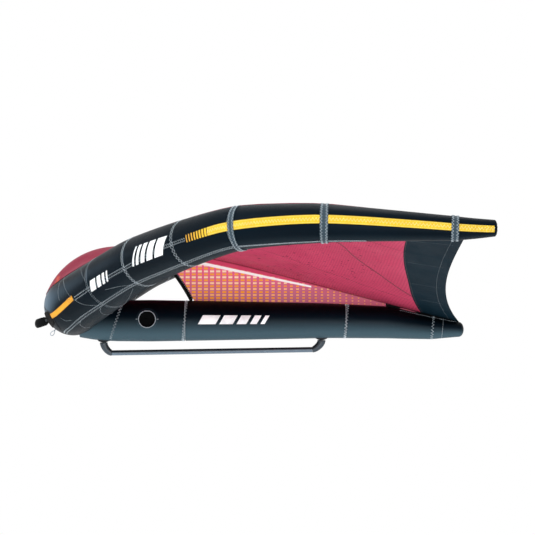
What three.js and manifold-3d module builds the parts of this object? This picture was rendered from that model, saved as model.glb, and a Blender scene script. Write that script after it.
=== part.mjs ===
// A hand-held inflatable wing for wing foiling: an air-filled leading edge and centre strut that carry
// a cloth canopy, with a rigid boom under the strut. Millimetres, +Z up, nose towards -X, tail towards +X.
// The origin is the middle of the boom, on its axis, where the rider's hands hold the wing.
import * as THREE from "three";
import { mergeVertices } from "three/addons/utils/BufferGeometryUtils.js";
import Module from "manifold-3d";

const wasm = await Module();
wasm.setup();

// ---------------------------------------------------------------- driving dimensions

// Leading edge: the centre line of its tube
const noseX = -665; // centre line at the nose
const noseZ = 217;
const tipX = 1247; // centre line at the tips
const halfSpan = 1420; // centre line at its widest place
const tipRise = 360; // how far the centre line climbs from the nose to the wing's shoulders
const noseRadius = 140.6;
const tipRadius = 36;

// Centre strut
const strutFrontX = -640;
const tailX = 1184;
const strutAxisZ = 146.5;
const strutTailZ = 105;
const strutRadius = 99.5;
const strutTailRadius = 35.5;
const tailCapLength = 24;

// Cloth
const casingWall = 1.2;
const bladderWall = 0.6;
const canopyCloth = 1.5;
const webCloth = 1.6;
const bandCloth = 1.2;
const bandWidth = 30;
const bandLeans = [20, 16, 0]; // how far the front of each band is set towards the tip
const tapeCloth = 0.7;
const tapeWidth = 40;
const tapeTipWidth = 28;
const webbingCloth = 1.4;
const webbingWidth = 24;
const trailingBow = 74; // how far the trailing edge is hollowed between tail and tip
const trailingArch = 12; // how far it is arched upwards
const darkPanelRoot = 130; // depth of the trailing panels at the strut
const darkPanelTip = 200; // and where they reach the leading edge

// Web between strut and canopy
const webFootX = -86; // where the front edge of the web stands on the strut
const webFrontBow = 30;
const bindingWidth = 16;
const bindingThickness = 5;

// Boom
const boomLength = 962;
const boomRadius = 12.5;
const boomWall = 2;
const boomTilt = 8; // the front end is this much lower than the middle, the rear end this much higher
const frontLegX = -520;
const rearLegX = 525;
const legRadius = 17;
const rearLegRadius = 18;
const spigotLength = 30;
const studRadius = 9;
const studLength = 20;
const pinRadius = 3;
const padLength = 56;
const padWidth = 44;
const padThickness = 9;

// Inflation valve, on the side of the strut
const valveX = -308;
const valveZ = 156;
const valveFlangeRadius = 42.7;
const valveFlangeThickness = 3;
const valveCapRadius = 36.5;
const valveCapThickness = 5;
const valveRimWidth = 4.5; // the raised rim round the cap
const capEarWidth = 14;
const capEarHeight = 9;
const valveNeckRadius = 20;
const valveBoreRadius = 14;
const valveNeckDepth = 24;
const plungerRadius = 9;

// Nose handle, leash webbing and line loop
const handleReach = 56; // from its pivots to its front
const handleDrop = 10;
const handleHalfSpan = 54;
const handleTall = 20; // half sizes of the padded grip
const handleDeep = 11;
const handleBarrel = 7;
const webbingReach = 0.125; // share of each half of the leading edge
const loopLineRadius = 1.6;

// Hose that joins the two bladders
const hoseRadius = 11;
const hoseWall = 3;
const hoseZ = 190;

// Fits
const fit = 0.3; // between pieces that touch
const slack = 0.5; // between cloth pieces that lie on each other

// Facets
const tubeSides = 14;
const strutSides = 16;
const chordSteps = 11; // across the coloured panels
const darkSteps = 3; // across the trailing panels

// ---------------------------------------------------------------- closed surfaces from rows of points

// Adds the quads between neighbouring rows of points. With wrap, the last point of a row joins its first;
// turned faces look the other way, with their quads split along the same diagonals.
function addRows(corners, rows, wrap = false, turned = false) {
  const count = rows[0].length;
  const last = wrap ? count : count - 1;
  for (let i = 0; i + 1 < rows.length; i++) {
    for (let j = 0; j < last; j++) {
      const [a, b] = [rows[i][j], rows[i + 1][j]];
      const k = (j + 1) % count;
      const [c, d] = [rows[i + 1][k], rows[i][k]];
      corners.push(...(turned ? [a, c, b, a, d, c] : [a, b, c, a, c, d]));
    }
  }
}

// Six times the volume inside a list of triangle corners.
function signedVolume(corners) {
  let sum = 0;
  for (let i = 0; i < corners.length; i += 3) {
    const normal = new THREE.Vector3().crossVectors(corners[i + 1], corners[i + 2]);
    sum += corners[i].dot(normal);
  }
  return sum;
}

// A geometry from triangle corners, with its faces turned outwards.
function closedSurface(corners) {
  if (signedVolume(corners) < 0) {
    corners.reverse();
  }
  return new THREE.BufferGeometry().setFromPoints(corners);
}

// A pipe with a wall, open at both ends, between matching outer and inner rings.
function pipe(outer, inner) {
  const corners = [];
  const end = outer.length - 1;
  addRows(corners, outer, true);
  addRows(corners, inner, true, true);
  addRows(corners, [inner[0], outer[0]], true);
  addRows(corners, [outer[end], inner[end]], true);
  return closedSurface(corners);
}

// Closes a row of rings at one end with a fan to the ring's middle.
function addFan(corners, ring, atStart) {
  const middle = ring.reduce((sum, p) => sum.add(p), new THREE.Vector3()).divideScalar(ring.length);
  ring.forEach((point, j) => {
    const next = ring[(j + 1) % ring.length];
    corners.push(...(atStart ? [point, next, middle] : [next, point, middle]));
  });
}

// A solid through rings, closed at both ends.
function cappedTube(rings) {
  const corners = [];
  addRows(corners, rings, true);
  addFan(corners, rings[0], true);
  addFan(corners, rings[rings.length - 1], false);
  return closedSurface(corners);
}

// A bag with a wall, closed at its last ring and open at its first.
function sock(outer, inner) {
  const corners = [];
  addRows(corners, outer, true);
  addRows(corners, inner, true, true);
  addRows(corners, [inner[0], outer[0]], true);
  addFan(corners, inner[inner.length - 1], true);
  addFan(corners, outer[outer.length - 1], false);
  return closedSurface(corners);
}

// A sheet of cloth between a grid of lower points and a matching grid of upper points.
function thickSheet(lower, upper) {
  const corners = [];
  const end = lower.length - 1;
  const side = lower[0].length - 1;
  const column = (rows, j) => rows.map((row) => row[j]);
  addRows(corners, lower);
  addRows(corners, upper, false, true);
  addRows(corners, [column(lower, 0), column(upper, 0)]);
  addRows(corners, [column(upper, side), column(lower, side)]);
  addRows(corners, [upper[0], lower[0]]);
  addRows(corners, [lower[end], upper[end]]);
  return closedSurface(corners);
}

// ---------------------------------------------------------------- booleans

function solidOf(geometry) {
  const bare = geometry.clone();
  bare.deleteAttribute("normal");
  bare.deleteAttribute("uv");
  const merged = mergeVertices(bare, 1e-4);
  return new wasm.Manifold(
    new wasm.Mesh({
      numProp: 3,
      vertProperties: merged.attributes.position.array,
      triVerts: new Uint32Array(merged.index.array),
    }),
  );
}

function geometryOf(solid) {
  const mesh = solid.getMesh();
  const geometry = new THREE.BufferGeometry();
  geometry.setAttribute("position", new THREE.BufferAttribute(new Float32Array(mesh.vertProperties), 3));
  geometry.setIndex(new THREE.BufferAttribute(new Uint32Array(mesh.triVerts), 1));
  return geometry;
}

function joined(...geometries) {
  return geometryOf(geometries.map(solidOf).reduce((sum, solid) => sum.add(solid)));
}

function cut(geometry, ...tools) {
  return geometryOf(tools.map(solidOf).reduce((rest, tool) => rest.subtract(tool), solidOf(geometry)));
}

// ---------------------------------------------------------------- simple shapes along an axis

function rod(radius, from, to, sides = 18) {
  const direction = to.clone().sub(from);
  const geometry = new THREE.CylinderGeometry(radius, radius, direction.length(), sides);
  const turn = new THREE.Quaternion().setFromUnitVectors(
    new THREE.Vector3(0, 1, 0),
    direction.clone().normalize(),
  );
  const middle = from.clone().add(to).multiplyScalar(0.5);
  return geometry.applyQuaternion(turn).translate(middle.x, middle.y, middle.z);
}

const point = (x, y, z) => new THREE.Vector3(x, y, z);

function evenly(from, to, steps) {
  return Array.from({ length: steps + 1 }, (_, i) => THREE.MathUtils.lerp(from, to, i / steps));
}

// Straight-line reading of a table of [position, value...] rows.
function tableRead(table, position, column) {
  const last = table.length - 1;
  if (position <= table[0][0]) {
    return table[0][column];
  }
  if (position >= table[last][0]) {
    return table[last][column];
  }
  const i = table.findIndex((row) => row[0] > position) - 1;
  const share = (position - table[i][0]) / (table[i + 1][0] - table[i][0]);
  return THREE.MathUtils.lerp(table[i][column], table[i + 1][column], share);
}

// ---------------------------------------------------------------- leading edge

// The centre line at the nose, just beside it and at each seam, as shares of the sweep, the half span
// and the rise. Between seams it runs nearly straight, as an inflated length of cloth does.
const edgePlaces = [
  [0, 0, 0],
  [0.012, 0.09, 0.04],
  [0.066, 0.211, 0.22],
  [0.173, 0.412, 0.56],
  [0.293, 0.623, 0.805],
  [0.424, 0.803, 0.995],
  [0.617, 0.954, 1.045],
  [0.91, 1.003, 0.983],
  [1, 0.986, 0.985],
];
const edgeTension = 0.36;

function edgePlace([sweep, span, rise], side) {
  return point(noseX + sweep * (tipX - noseX), side * span * halfSpan, noseZ + rise * tipRise);
}

const edgeLine = new THREE.CatmullRomCurve3(
  [
    ...edgePlaces.slice(1).reverse().map((place) => edgePlace(place, -1)),
    ...edgePlaces.map((place) => edgePlace(place, 1)),
  ],
  false,
  "catmullrom",
  edgeTension,
);
const placeDivisions = 50; // measuring steps between neighbouring places
const placesPerHalf = edgePlaces.length - 1;
edgeLine.arcLengthDivisions = 2 * placesPerHalf * placeDivisions;
const edgeHalfLength = edgeLine.getLength() / 2;

// The share of a half, from nose to tip along the tube, at which a place of the list lies.
function placeShare(index) {
  const lengths = edgeLine.getLengths();
  return lengths[(placesPerHalf + index) * placeDivisions] / edgeHalfLength - 1;
}

// Radius of the tube against the share of the way from nose to tip.
const edgeRadii = [
  [0, 1],
  [0.35, 0.745],
  [0.7, 0.478],
  [0.93, 0.165],
  [1, 0],
];

function edgeRadius(s) {
  return THREE.MathUtils.lerp(tipRadius, noseRadius, tableRead(edgeRadii, Math.abs(s), 1));
}

// The tube's frame at s, from -1 at one tip through 0 at the nose to 1 at the other tip.
function edgeFrame(s) {
  const u = THREE.MathUtils.clamp(0.5 + s / 2, 0, 1);
  const centre = edgeLine.getPointAt(u);
  const tangent = edgeLine.getTangentAt(u);
  const up = point(0, 0, 1).addScaledVector(tangent, -tangent.z).normalize();
  const forward = new THREE.Vector3().crossVectors(up, tangent).normalize();
  return { centre, tangent, up, forward };
}

// A point over the tube's skin; angle 0 faces forward and outward, 90 degrees faces up.
function edgePoint(s, degrees, lift) {
  const { centre, up, forward } = edgeFrame(s);
  const angle = THREE.MathUtils.degToRad(degrees);
  const radius = edgeRadius(s) + lift;
  return centre
    .clone()
    .addScaledVector(forward, radius * Math.cos(angle))
    .addScaledVector(up, radius * Math.sin(angle));
}

const sideAngle = 360 / tubeSides;

function edgeRing(s, lift) {
  return Array.from({ length: tubeSides }, (_, i) => edgePoint(s, i * sideAngle, lift));
}

// Seams between the lengths of the casing, as shares of each half. Bands cover the last three rings.
const innerSeams = [0.1755, 0.2915, 0.43];
const bandPlaces = [5, 6, 7].map(placeShare);
const edgeSeams = [...innerSeams, ...bandPlaces, 1];
const bandHalf = bandWidth / 2 / edgeHalfLength;
const stationPitch = 0.08;

// Stations from one seam to another, with one at each bend between them and at the edge of each band.
function stations(from, to) {
  const start = bandPlaces.includes(from) ? [from, from + bandHalf] : [from];
  const end = bandPlaces.includes(to) ? [to - bandHalf, to] : [to];
  const [low, high] = [start[start.length - 1], end[0]];
  const bends = edgePlaces.map((_, i) => placeShare(i)).filter((s) => s > low + 0.01 && s < high - 0.01);
  const stops = [low, ...bends, high];
  const between = stops.slice(1).flatMap((stop, i) => {
    const steps = Math.max(1, Math.round((stop - stops[i]) / stationPitch));
    return evenly(stops[i], stop, steps).slice(1);
  });
  return [...start, ...between.slice(0, -1), ...end];
}

const halfStations = [
  ...stations(0, edgeSeams[0]),
  ...edgeSeams.slice(1).flatMap((seam, i) => stations(edgeSeams[i], seam).slice(1)),
];
const edgeGap = fit / 2 / edgeHalfLength;

function edgeRings(places, lift) {
  return places.map((s) => edgeRing(s, lift));
}

function hosePort(x0, x1, radius) {
  return rod(radius, point(x0, 0, hoseZ), point(x1, 0, hoseZ));
}

const edgeBackX = noseX + noseRadius;

function noseCasing() {
  const half = stations(0, edgeSeams[0]);
  half[half.length - 1] -= edgeGap;
  const places = [...half.slice(1).reverse().map((s) => -s), ...half];
  const wall = pipe(edgeRings(places, 0), edgeRings(places, -casingWall));
  return cut(wall, hosePort(edgeBackX - 40, edgeBackX + 20, hoseRadius + fit));
}

// One length of casing. Every wall on a half is split into facets from the nose outwards.
function edgeCasing(side, from, to) {
  const places = stations(from, to);
  const last = places.length - 1;
  places[0] += edgeGap;
  if (to < 1) {
    places[last] -= edgeGap;
  }
  const signed = places.map((s) => side * s);
  const outer = edgeRings(signed, 0);
  const inner = edgeRings(signed, -casingWall);
  if (to < 1) {
    return pipe(outer, inner);
  }
  inner[last] = edgeRing(side * (1 - casingWall / edgeHalfLength), -casingWall);
  return sock(outer, inner);
}

function edgeBladder() {
  const half = halfStations.slice();
  half[half.length - 1] -= 2 * casingWall / edgeHalfLength;
  const places = [...half.slice(1).reverse().map((s) => -s), ...half];
  const skin = -casingWall - fit;
  const film = cappedTube(edgeRings(places, skin));
  places[0] += bladderWall / edgeHalfLength;
  places[places.length - 1] -= bladderWall / edgeHalfLength;
  const air = cappedTube(edgeRings(places, skin - bladderWall));
  return cut(film, air, hosePort(edgeBackX - 40, edgeBackX + 20, hoseRadius + fit));
}

// ---------------------------------------------------------------- canopy

const canopyEnd = 0.962; // share of the leading edge where the cloth stops
const canopyLift = 1; // over the tube, more where the cloth turns round it at the tips
const canopyTipLift = 2.4;

// Where the cloth leaves the tube: at the front of the nose, on top along the arms, inside at the tips.
function clothAngle(q) {
  const noseAngle = 22;
  const topAngle = 90;
  const innerTurn = 85;
  return noseAngle + (topAngle - noseAngle) * (1 - (1 - q) ** 8) + innerTurn * q ** 8;
}

const strutClearance = 1; // least height of the cloth above the strut
const tailTop = strutTailZ + strutTailRadius + strutClearance;

// The trailing edge, from the strut's tail at w = 0 to the leading edge's tube at w = 1.
function trailingPoint(side, w) {
  const tail = point(tailX, 0, tailTop);
  const tip = edgePoint(side * canopyEnd, clothAngle(1), canopyTipLift);
  const hollow = 4 * w * (1 - w);
  const result = tail.lerp(tip, w);
  result.x -= trailingBow * hollow * (1.5 - w);
  result.z += trailingArch * hollow;
  return result;
}

// The lower face of the cloth: q runs along the leading edge, v from the leading to the trailing edge.
function canopyPoint(side, q, v) {
  const s = side * q * canopyEnd;
  const degrees = clothAngle(q);
  const start = edgePoint(s, degrees, THREE.MathUtils.lerp(canopyLift, canopyTipLift, q ** 4));
  const end = trailingPoint(side, q * (1 + 0.55 * (1 - q)));
  const chord = end.clone().sub(start);
  const length = chord.length();
  if (length < 1e-6) {
    return start;
  }
  const heading = chord.clone().divideScalar(length);
  const out = start.clone().sub(edgeFrame(s).centre).normalize();
  const leave = heading.clone().addScaledVector(out, -heading.dot(out)).normalize();
  const arrive = heading.clone().add(point(0, 0, -0.17)).normalize();
  const line = new THREE.CubicBezierCurve3(
    start,
    start.clone().addScaledVector(leave, 0.25 * length),
    end.clone().addScaledVector(arrive, -0.5 * length),
    end,
  );
  const result = line.getPoint(v);
  result.y = side * Math.max(fit / 2, side * result.y);
  result.z = Math.max(result.z, strutSkin(result.x, result.y) + strutClearance);
  return result;
}

function chordLength(q) {
  return canopyPoint(1, q, 0).distanceTo(canopyPoint(1, q, 1));
}

// Where the trailing panels begin.
function darkStart(q) {
  const depth = THREE.MathUtils.lerp(darkPanelRoot, darkPanelTip, q);
  return Math.max(0.02, 1 - depth / Math.max(chordLength(q), 1));
}

// The upward normal of the cloth.
function canopyNormal(side, q, v) {
  const step = 1e-3;
  const q0 = THREE.MathUtils.clamp(q, step, 0.995 - step);
  const v0 = THREE.MathUtils.clamp(v, step, 1 - step);
  const across = canopyPoint(side, q0 + step, v0).sub(canopyPoint(side, q0 - step, v0));
  const along = canopyPoint(side, q0, v0 + step).sub(canopyPoint(side, q0, v0 - step));
  const normal = across.cross(along).normalize();
  return normal.z < 0 ? normal.negate() : normal;
}

// A panel of cloth over a list of q stations, with the v stations that vAt gives for each.
function clothPanel(side, qs, vAt) {
  const lower = qs.map((q) => vAt(q).map((v) => canopyPoint(side, q, v)));
  const upper = qs.map((q, i) =>
    vAt(q).map((v, j) => {
      const raised = lower[i][j].clone().addScaledVector(canopyNormal(side, q, v), canopyCloth);
      raised.y = side * Math.max(fit / 2, side * raised.y);
      return raised;
    }),
  );
  return thickSheet(lower, upper);
}

const panelSeams = [0, 0.3, 0.58, 0.85, 1];
const seamGap = 1e-4;
const rootStations = [0, 0.02, 0.04, 0.06, 0.085, 0.11, 0.14, 0.175, 0.215, 0.255, panelSeams[1]];
const midStations = evenly(panelSeams[1], panelSeams[2], 5);
const outerStations = evenly(panelSeams[2], panelSeams[3], 6);
const tipStations = [...evenly(panelSeams[3], 0.97, 7), 0.985];
const panelStations = [rootStations, midStations, outerStations];

function withGaps(list, first) {
  const copy = list.slice();
  if (!first) {
    copy[0] += seamGap;
  }
  copy[copy.length - 1] -= seamGap;
  return copy;
}

// Across the coloured panels, with short steps where the cloth leaves the tube.
const colouredChord = (q) => {
  const end = darkStart(q) - fit / 2 / chordLength(q);
  return evenly(0, 1, chordSteps).map((share) => end * share ** 1.8);
};
const darkChord = (q) => {
  const gap = fit / 2 / chordLength(q);
  return evenly(darkStart(q) + gap, 1, darkSteps);
};
const wholeChord = () => evenly(0, 1, darkSteps + 3);

// ---------------------------------------------------------------- bands and tapes on the leading edge

const bandLift = fit + tapeCloth + 0.8;

// A reinforcement band round the tube, open where the cloth is sewn on. Its front leans towards the tip.
function edgeBand(side, place, lean) {
  const cloth = clothAngle(place / canopyEnd);
  const angles = evenly(cloth + 16, cloth + 356, 2 * tubeSides);
  const shift = (angle) => (side * lean * Math.cos(THREE.MathUtils.degToRad(angle))) / edgeHalfLength;
  const ring = (s, lift) => angles.map((angle) => edgePoint(s + shift(angle), angle, lift));
  const places = [place - bandHalf, place, place + bandHalf].map((s) => side * s);
  return thickSheet(
    places.map((s) => ring(s, bandLift)),
    places.map((s) => ring(s, bandLift + bandCloth)),
  );
}

// A flat strip sewn along the tube. The width and the angle are read at each place.
function edgeStrip(places, angleAt, widthAt, lift, cloth) {
  const across = [-0.5, -0.25, 0, 0.25, 0.5];
  const row = (s, height) => {
    const spread = THREE.MathUtils.radToDeg(widthAt(s) / edgeRadius(s));
    return across.map((share) => edgePoint(s, angleAt(s) + share * spread, height));
  };
  return thickSheet(
    places.map((s) => row(s, lift)),
    places.map((s) => row(s, lift + cloth)),
  );
}

const tapeStart = 0.475;

// Angle of the tape's middle round the tube against the share of the way from nose to tip.
const tapeAngles = [
  [tapeStart, -2],
  [0.52, 0],
  [0.56, 5],
  [0.66, 10],
  [0.74, 13],
  [0.85, 11],
  [0.94, 6],
  [1, -6],
];

function edgeTape(side) {
  const places = [tapeStart, ...halfStations.filter((s) => s > tapeStart + 0.005)];
  places[places.length - 1] = 0.998;
  const share = (s) => (Math.abs(s) - tapeStart) / (1 - tapeStart);
  return edgeStrip(
    places.map((s) => side * s),
    (s) => tableRead(tapeAngles, Math.abs(s), 1),
    (s) => THREE.MathUtils.lerp(tapeWidth, tapeTipWidth, share(s) ** 2),
    fit,
    tapeCloth,
  );
}

const webbingLift = 0.8;
const webbingAngle = (s) => -30 + 15 * (Math.abs(s) / webbingReach) ** 1.2;

function noseWebbing() {
  const half = [...halfStations.filter((s) => s < webbingReach - 0.01), webbingReach];
  const fine = half.slice(1).flatMap((stop, i) => evenly(half[i], stop, 3).slice(1));
  const places = [...fine.map((s) => -s).reverse(), 0, ...fine];
  return edgeStrip(
    places,
    webbingAngle,
    () => webbingWidth,
    webbingLift,
    webbingCloth,
  );
}

// ---------------------------------------------------------------- centre strut

// Places along the strut: share of its length, fullness of its radius, and how far its axis has dropped.
const strutPlaces = [
  [0, 0.664, 0],
  [0.044, 0.883, 0],
  [0.093, 0.977, 0],
  [0.188, 1, 0],
  [0.451, 0.867, 0],
  [0.659, 0.742, 0],
  [0.811, 0.641, 0.19],
  [0.854, 0.523, 0.42],
  [0.927, 0.305, 0.81],
  [1, 0, 1],
];

const strutShare = (x) => (x - strutFrontX) / (tailX - strutFrontX);

function strutRadiusAt(x) {
  return THREE.MathUtils.lerp(strutTailRadius, strutRadius, tableRead(strutPlaces, strutShare(x), 1));
}

function strutAxisAt(x) {
  return THREE.MathUtils.lerp(strutAxisZ, strutTailZ, tableRead(strutPlaces, strutShare(x), 2));
}

// Height of the strut's skin over a point beside its centre plane.
function strutSkin(x, y) {
  const radius = strutRadiusAt(x);
  return strutAxisAt(x) + Math.sqrt(Math.max(0, radius ** 2 - y ** 2));
}

function strutRing(x, inset) {
  const radius = strutRadiusAt(x) - inset;
  return Array.from({ length: strutSides }, (_, i) => {
    const angle = (2 * Math.PI * i) / strutSides + Math.PI / 2;
    return point(x, radius * Math.cos(angle), strutAxisAt(x) + radius * Math.sin(angle));
  });
}

// Ring places between two ends, with the strut's own places between them.
function strutStations(from, to) {
  const own = strutPlaces.map(([share]) => THREE.MathUtils.lerp(strutFrontX, tailX, share));
  return [from, ...own.filter((x) => x > from + 2 && x < to - 2), to];
}

const strutSeams = [0.2796, 0.7034, 0.9298].map((share) => THREE.MathUtils.lerp(strutFrontX, tailX, share));

// The leading edge's own volume, a little enlarged, to cut the strut's saddle.
function edgeEnvelope(lift) {
  const half = stations(0, edgeSeams[0]);
  const places = [...half.slice(1).reverse().map((s) => -s), ...half];
  return cappedTube(edgeRings(places, lift));
}

// The hole that the valve's neck passes through.
function valveHole() {
  const outside = point(valveX, -strutRadius - 20, valveZ);
  const inside = point(valveX, -60, valveZ);
  return rod(valveNeckRadius + fit, outside, inside);
}

function strutFront() {
  const places = strutStations(strutFrontX, strutSeams[0] - fit / 2);
  const wall = pipe(
    places.map((x) => strutRing(x, 0)),
    places.map((x) => strutRing(x, casingWall)),
  );
  return cut(wall, edgeEnvelope(slack), valveHole());
}

function strutLength(from, to) {
  const places = strutStations(from + fit / 2, to - fit / 2);
  return pipe(
    places.map((x) => strutRing(x, 0)),
    places.map((x) => strutRing(x, casingWall)),
  );
}

// The tail's casing, closed by a rounded end.
function strutTail() {
  const places = strutStations(strutSeams[2] + fit / 2, tailX);
  const rounds = [0.35, 0.65, 0.85];
  const capRing = (share, inset) => {
    const x = tailX + tailCapLength * Math.sin(share * Math.PI / 2) - inset;
    const radius = (strutTailRadius - inset) * Math.cos(share * Math.PI / 2);
    return strutRing(tailX, 0).map((p) => {
      const flat = point(0, p.y, p.z - strutTailZ).multiplyScalar(radius / strutTailRadius);
      return point(x, flat.y, strutTailZ + flat.z);
    });
  };
  return sock(
    [...places.map((x) => strutRing(x, 0)), ...rounds.map((share) => capRing(share, 0))],
    [...places.map((x) => strutRing(x, casingWall)), ...rounds.map((share) => capRing(share, casingWall))],
  );
}

const strutBladderFront = -500;

function strutBladder() {
  const skin = casingWall + fit;
  const film = (inset) => {
    const places = strutStations(strutBladderFront + 45, tailX - inset);
    const front = strutRing(strutBladderFront + 45, inset).map((p) =>
      point(strutBladderFront + inset, p.y * 0.66, strutAxisZ + (p.z - strutAxisZ) * 0.66),
    );
    return cappedTube([front, ...places.map((x) => strutRing(x, inset))]);
  };
  const port = hosePort(strutBladderFront - 10, strutBladderFront + 20, hoseRadius + fit);
  return cut(film(skin), film(skin + bladderWall), port, valveHole());
}

function bladderHose() {
  const from = edgeBackX - 10;
  const to = strutBladderFront + 8;
  return cut(hosePort(from, to, hoseRadius), hosePort(from - 1, to + 1, hoseRadius - hoseWall));
}

// ---------------------------------------------------------------- web between strut and canopy

const webFirst = 7; // the canopy's chord station where the web begins
const webLeastHeight = 1.6; // the web ends towards the tail where less than this is left for it

const strutTop = (x) => strutAxisAt(x) + strutRadiusAt(x);

// The front edge of the web, from its foot on the strut up to the canopy.
function webFront() {
  const foot = point(webFootX, 0, strutTop(webFootX) + slack);
  const head = canopyPoint(1, 0, colouredChord(0)[webFirst]);
  const middle = foot.clone().lerp(head, 0.5);
  middle.x += webFrontBow;
  head.y = 0;
  head.z -= slack;
  return new THREE.QuadraticBezierCurve3(foot, middle, head);
}

// The canopy's chord stations that the top of the web follows.
function webTops() {
  const chord = [...colouredChord(0).slice(webFirst + 1), ...darkChord(0).slice(0, -1)];
  const tops = chord.map((v) => canopyPoint(1, 0, v));
  return tops.filter((top) => top.z - strutTop(top.x) > webLeastHeight + 2 * slack);
}

// A flat piece of cloth on the centre plane, with its outline given as points of that plane.
function centreSheet(outline, thickness) {
  const shape = new THREE.Shape(outline.map((p) => new THREE.Vector2(p.x, p.z)));
  const geometry = new THREE.ExtrudeGeometry(shape, { depth: thickness, bevelEnabled: false });
  return geometry.rotateX(Math.PI / 2).translate(0, thickness / 2, 0);
}

function web() {
  const front = webFront().getPoints(6);
  const tops = webTops();
  const endX = tops[tops.length - 1].x;
  const feet = strutStations(webFootX, endX).slice(1).reverse();
  return centreSheet(
    [
      ...front,
      ...tops.map((top) => point(top.x, 0, top.z - slack)),
      ...feet.map((x) => point(x, 0, strutTop(x) + slack)),
    ],
    webCloth,
  );
}

// The binding that edges the front of the web.
function webBinding() {
  const front = webFront();
  const steps = 6;
  const ahead = (t) => {
    const along = front.getTangent(t);
    return point(-along.z, 0, along.x);
  };
  const inner = evenly(0, 1, steps).map((t) => front.getPoint(t).addScaledVector(ahead(t), fit));
  const reach = fit + bindingWidth;
  const outer = evenly(0, 1, steps).map((t) => front.getPoint(t).addScaledVector(ahead(t), reach));
  outer[0].z = Math.max(outer[0].z, strutTop(outer[0].x) + slack);
  outer[steps].z = Math.min(outer[steps].z, inner[steps].z - bindingWidth / 3);
  return centreSheet([...inner, ...outer.reverse()], bindingThickness);
}

// ---------------------------------------------------------------- boom

const boomFrontX = -boomLength / 2;
const boomRearX = boomLength / 2;
const boomEnd = (x) => point(x, 0, (boomTilt * x) / boomRearX);
const boomDirection = boomEnd(boomRearX).normalize();

function boomBar() {
  const from = boomEnd(boomFrontX + fit);
  const to = boomEnd(boomRearX - fit);
  const reach = boomDirection.clone();
  return cut(
    rod(boomRadius, from, to),
    rod(boomRadius - boomWall, from.clone().sub(reach), to.clone().add(reach)),
  );
}

// Height of the strut's underside at x.
const strutUnder = (x) => strutAxisAt(x) - strutRadiusAt(x);
const padFoot = (x) => strutUnder(x) - padThickness;

// The pad that is bonded to the strut and carries one end of the boom on a stud.
function boomPad(x) {
  const block = new THREE.BoxGeometry(padLength, padWidth, padThickness + 20);
  block.translate(x, 0, padFoot(x) + (padThickness + 20) / 2);
  const places = strutStations(x - padLength, x + padLength);
  const strut = cappedTube(places.map((place) => strutRing(place, -slack)));
  const shaped = x < strutSeams[0] ? cut(block, strut, edgeEnvelope(slack)) : cut(block, strut);
  const stud = rod(studRadius, point(x, 0, padFoot(x) - studLength), point(x, 0, padFoot(x) + 2));
  const hole = rod(pinRadius + fit, point(x, -30, pinHeight(x)), point(x, 30, pinHeight(x)));
  return cut(joined(shaped, stud), hole);
}

const pinHeight = (x) => padFoot(x) - studLength / 2;

// A moulded elbow from a pad's stud to the end of the bar.
function boomElbow(legX, barX, topRadius) {
  const barEnd = boomEnd(barX);
  const inward = Math.sign(-barX);
  const top = point(legX, 0, padFoot(legX) - fit);
  const path = new THREE.CubicBezierCurve3(
    top,
    point(legX, 0, THREE.MathUtils.lerp(top.z, barEnd.z, 0.5)),
    barEnd.clone().addScaledVector(boomDirection, -inward * 12),
    barEnd,
  );
  const steps = 9;
  const sides = 16;
  const rings = evenly(0, 1, steps).map((t) => {
    const centre = path.getPoint(t);
    const along = path.getTangent(t);
    const ahead = point(-along.z, 0, along.x);
    const radius = THREE.MathUtils.lerp(topRadius, boomRadius, Math.min(1, t * 1.6));
    return Array.from({ length: sides }, (_, i) => {
      const angle = (2 * Math.PI * i) / sides;
      return centre
        .clone()
        .addScaledVector(ahead, radius * Math.cos(angle))
        .add(point(0, radius * Math.sin(angle), 0));
    });
  });
  const spigot = rod(
    boomRadius - boomWall - fit,
    barEnd.clone().addScaledVector(boomDirection, -inward * 4),
    barEnd.clone().addScaledVector(boomDirection, inward * spigotLength),
  );
  const body = joined(cappedTube(rings), spigot);
  const socket = rod(
    studRadius + fit,
    point(legX, 0, top.z - studLength - 1),
    point(legX, 0, top.z + 5),
  );
  const hole = rod(pinRadius + fit, point(legX, -40, pinHeight(legX)), point(legX, 40, pinHeight(legX)));
  return cut(body, socket, hole);
}

// The cross pin that locks an elbow on its stud.
function boomPin(x, reach) {
  return rod(pinRadius, point(x, -reach, pinHeight(x)), point(x, reach, pinHeight(x)), 16);
}

// ---------------------------------------------------------------- valve

// Outer face of the strut beside the valve, along -Y.
const valveSkinY = -Math.sqrt(strutRadius ** 2 - (valveZ - strutAxisZ) ** 2);
const valveFaceY = valveSkinY - valveFlangeThickness;

const capBackY = valveFaceY - fit;
const valveRimY = capBackY - valveCapThickness - slack; // the outermost face, which a pump's rim rests on
const capPivotZ = valveZ + valveCapRadius + 5; // the tether's bend, in the middle of the ear's upper end

function valveBase() {
  const centre = (y) => point(valveX, y, valveZ);
  const disc = rod(valveFlangeRadius, centre(valveRimY), centre(valveSkinY + 22), 32);
  const recess = rod(valveFlangeRadius - valveRimWidth, centre(valveRimY - 1), centre(valveFaceY), 32);
  const notch = new THREE.BoxGeometry(capEarWidth + 3, valveFaceY - valveRimY + 1, 2 * capEarHeight);
  notch.translate(valveX, (valveFaceY + valveRimY - 1) / 2, valveZ + valveCapRadius + capEarHeight);
  const places = strutStations(valveX - 120, valveX + 120);
  const strut = cappedTube(places.map((x) => strutRing(x, -fit)));
  const neck = rod(valveNeckRadius, centre(valveFaceY + 1), centre(valveSkinY + valveNeckDepth));
  const bore = rod(valveBoreRadius, centre(valveFaceY - 1), centre(valveSkinY + valveNeckDepth + 1));
  return cut(joined(cut(disc, strut, recess, notch), neck), bore);
}

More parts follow.
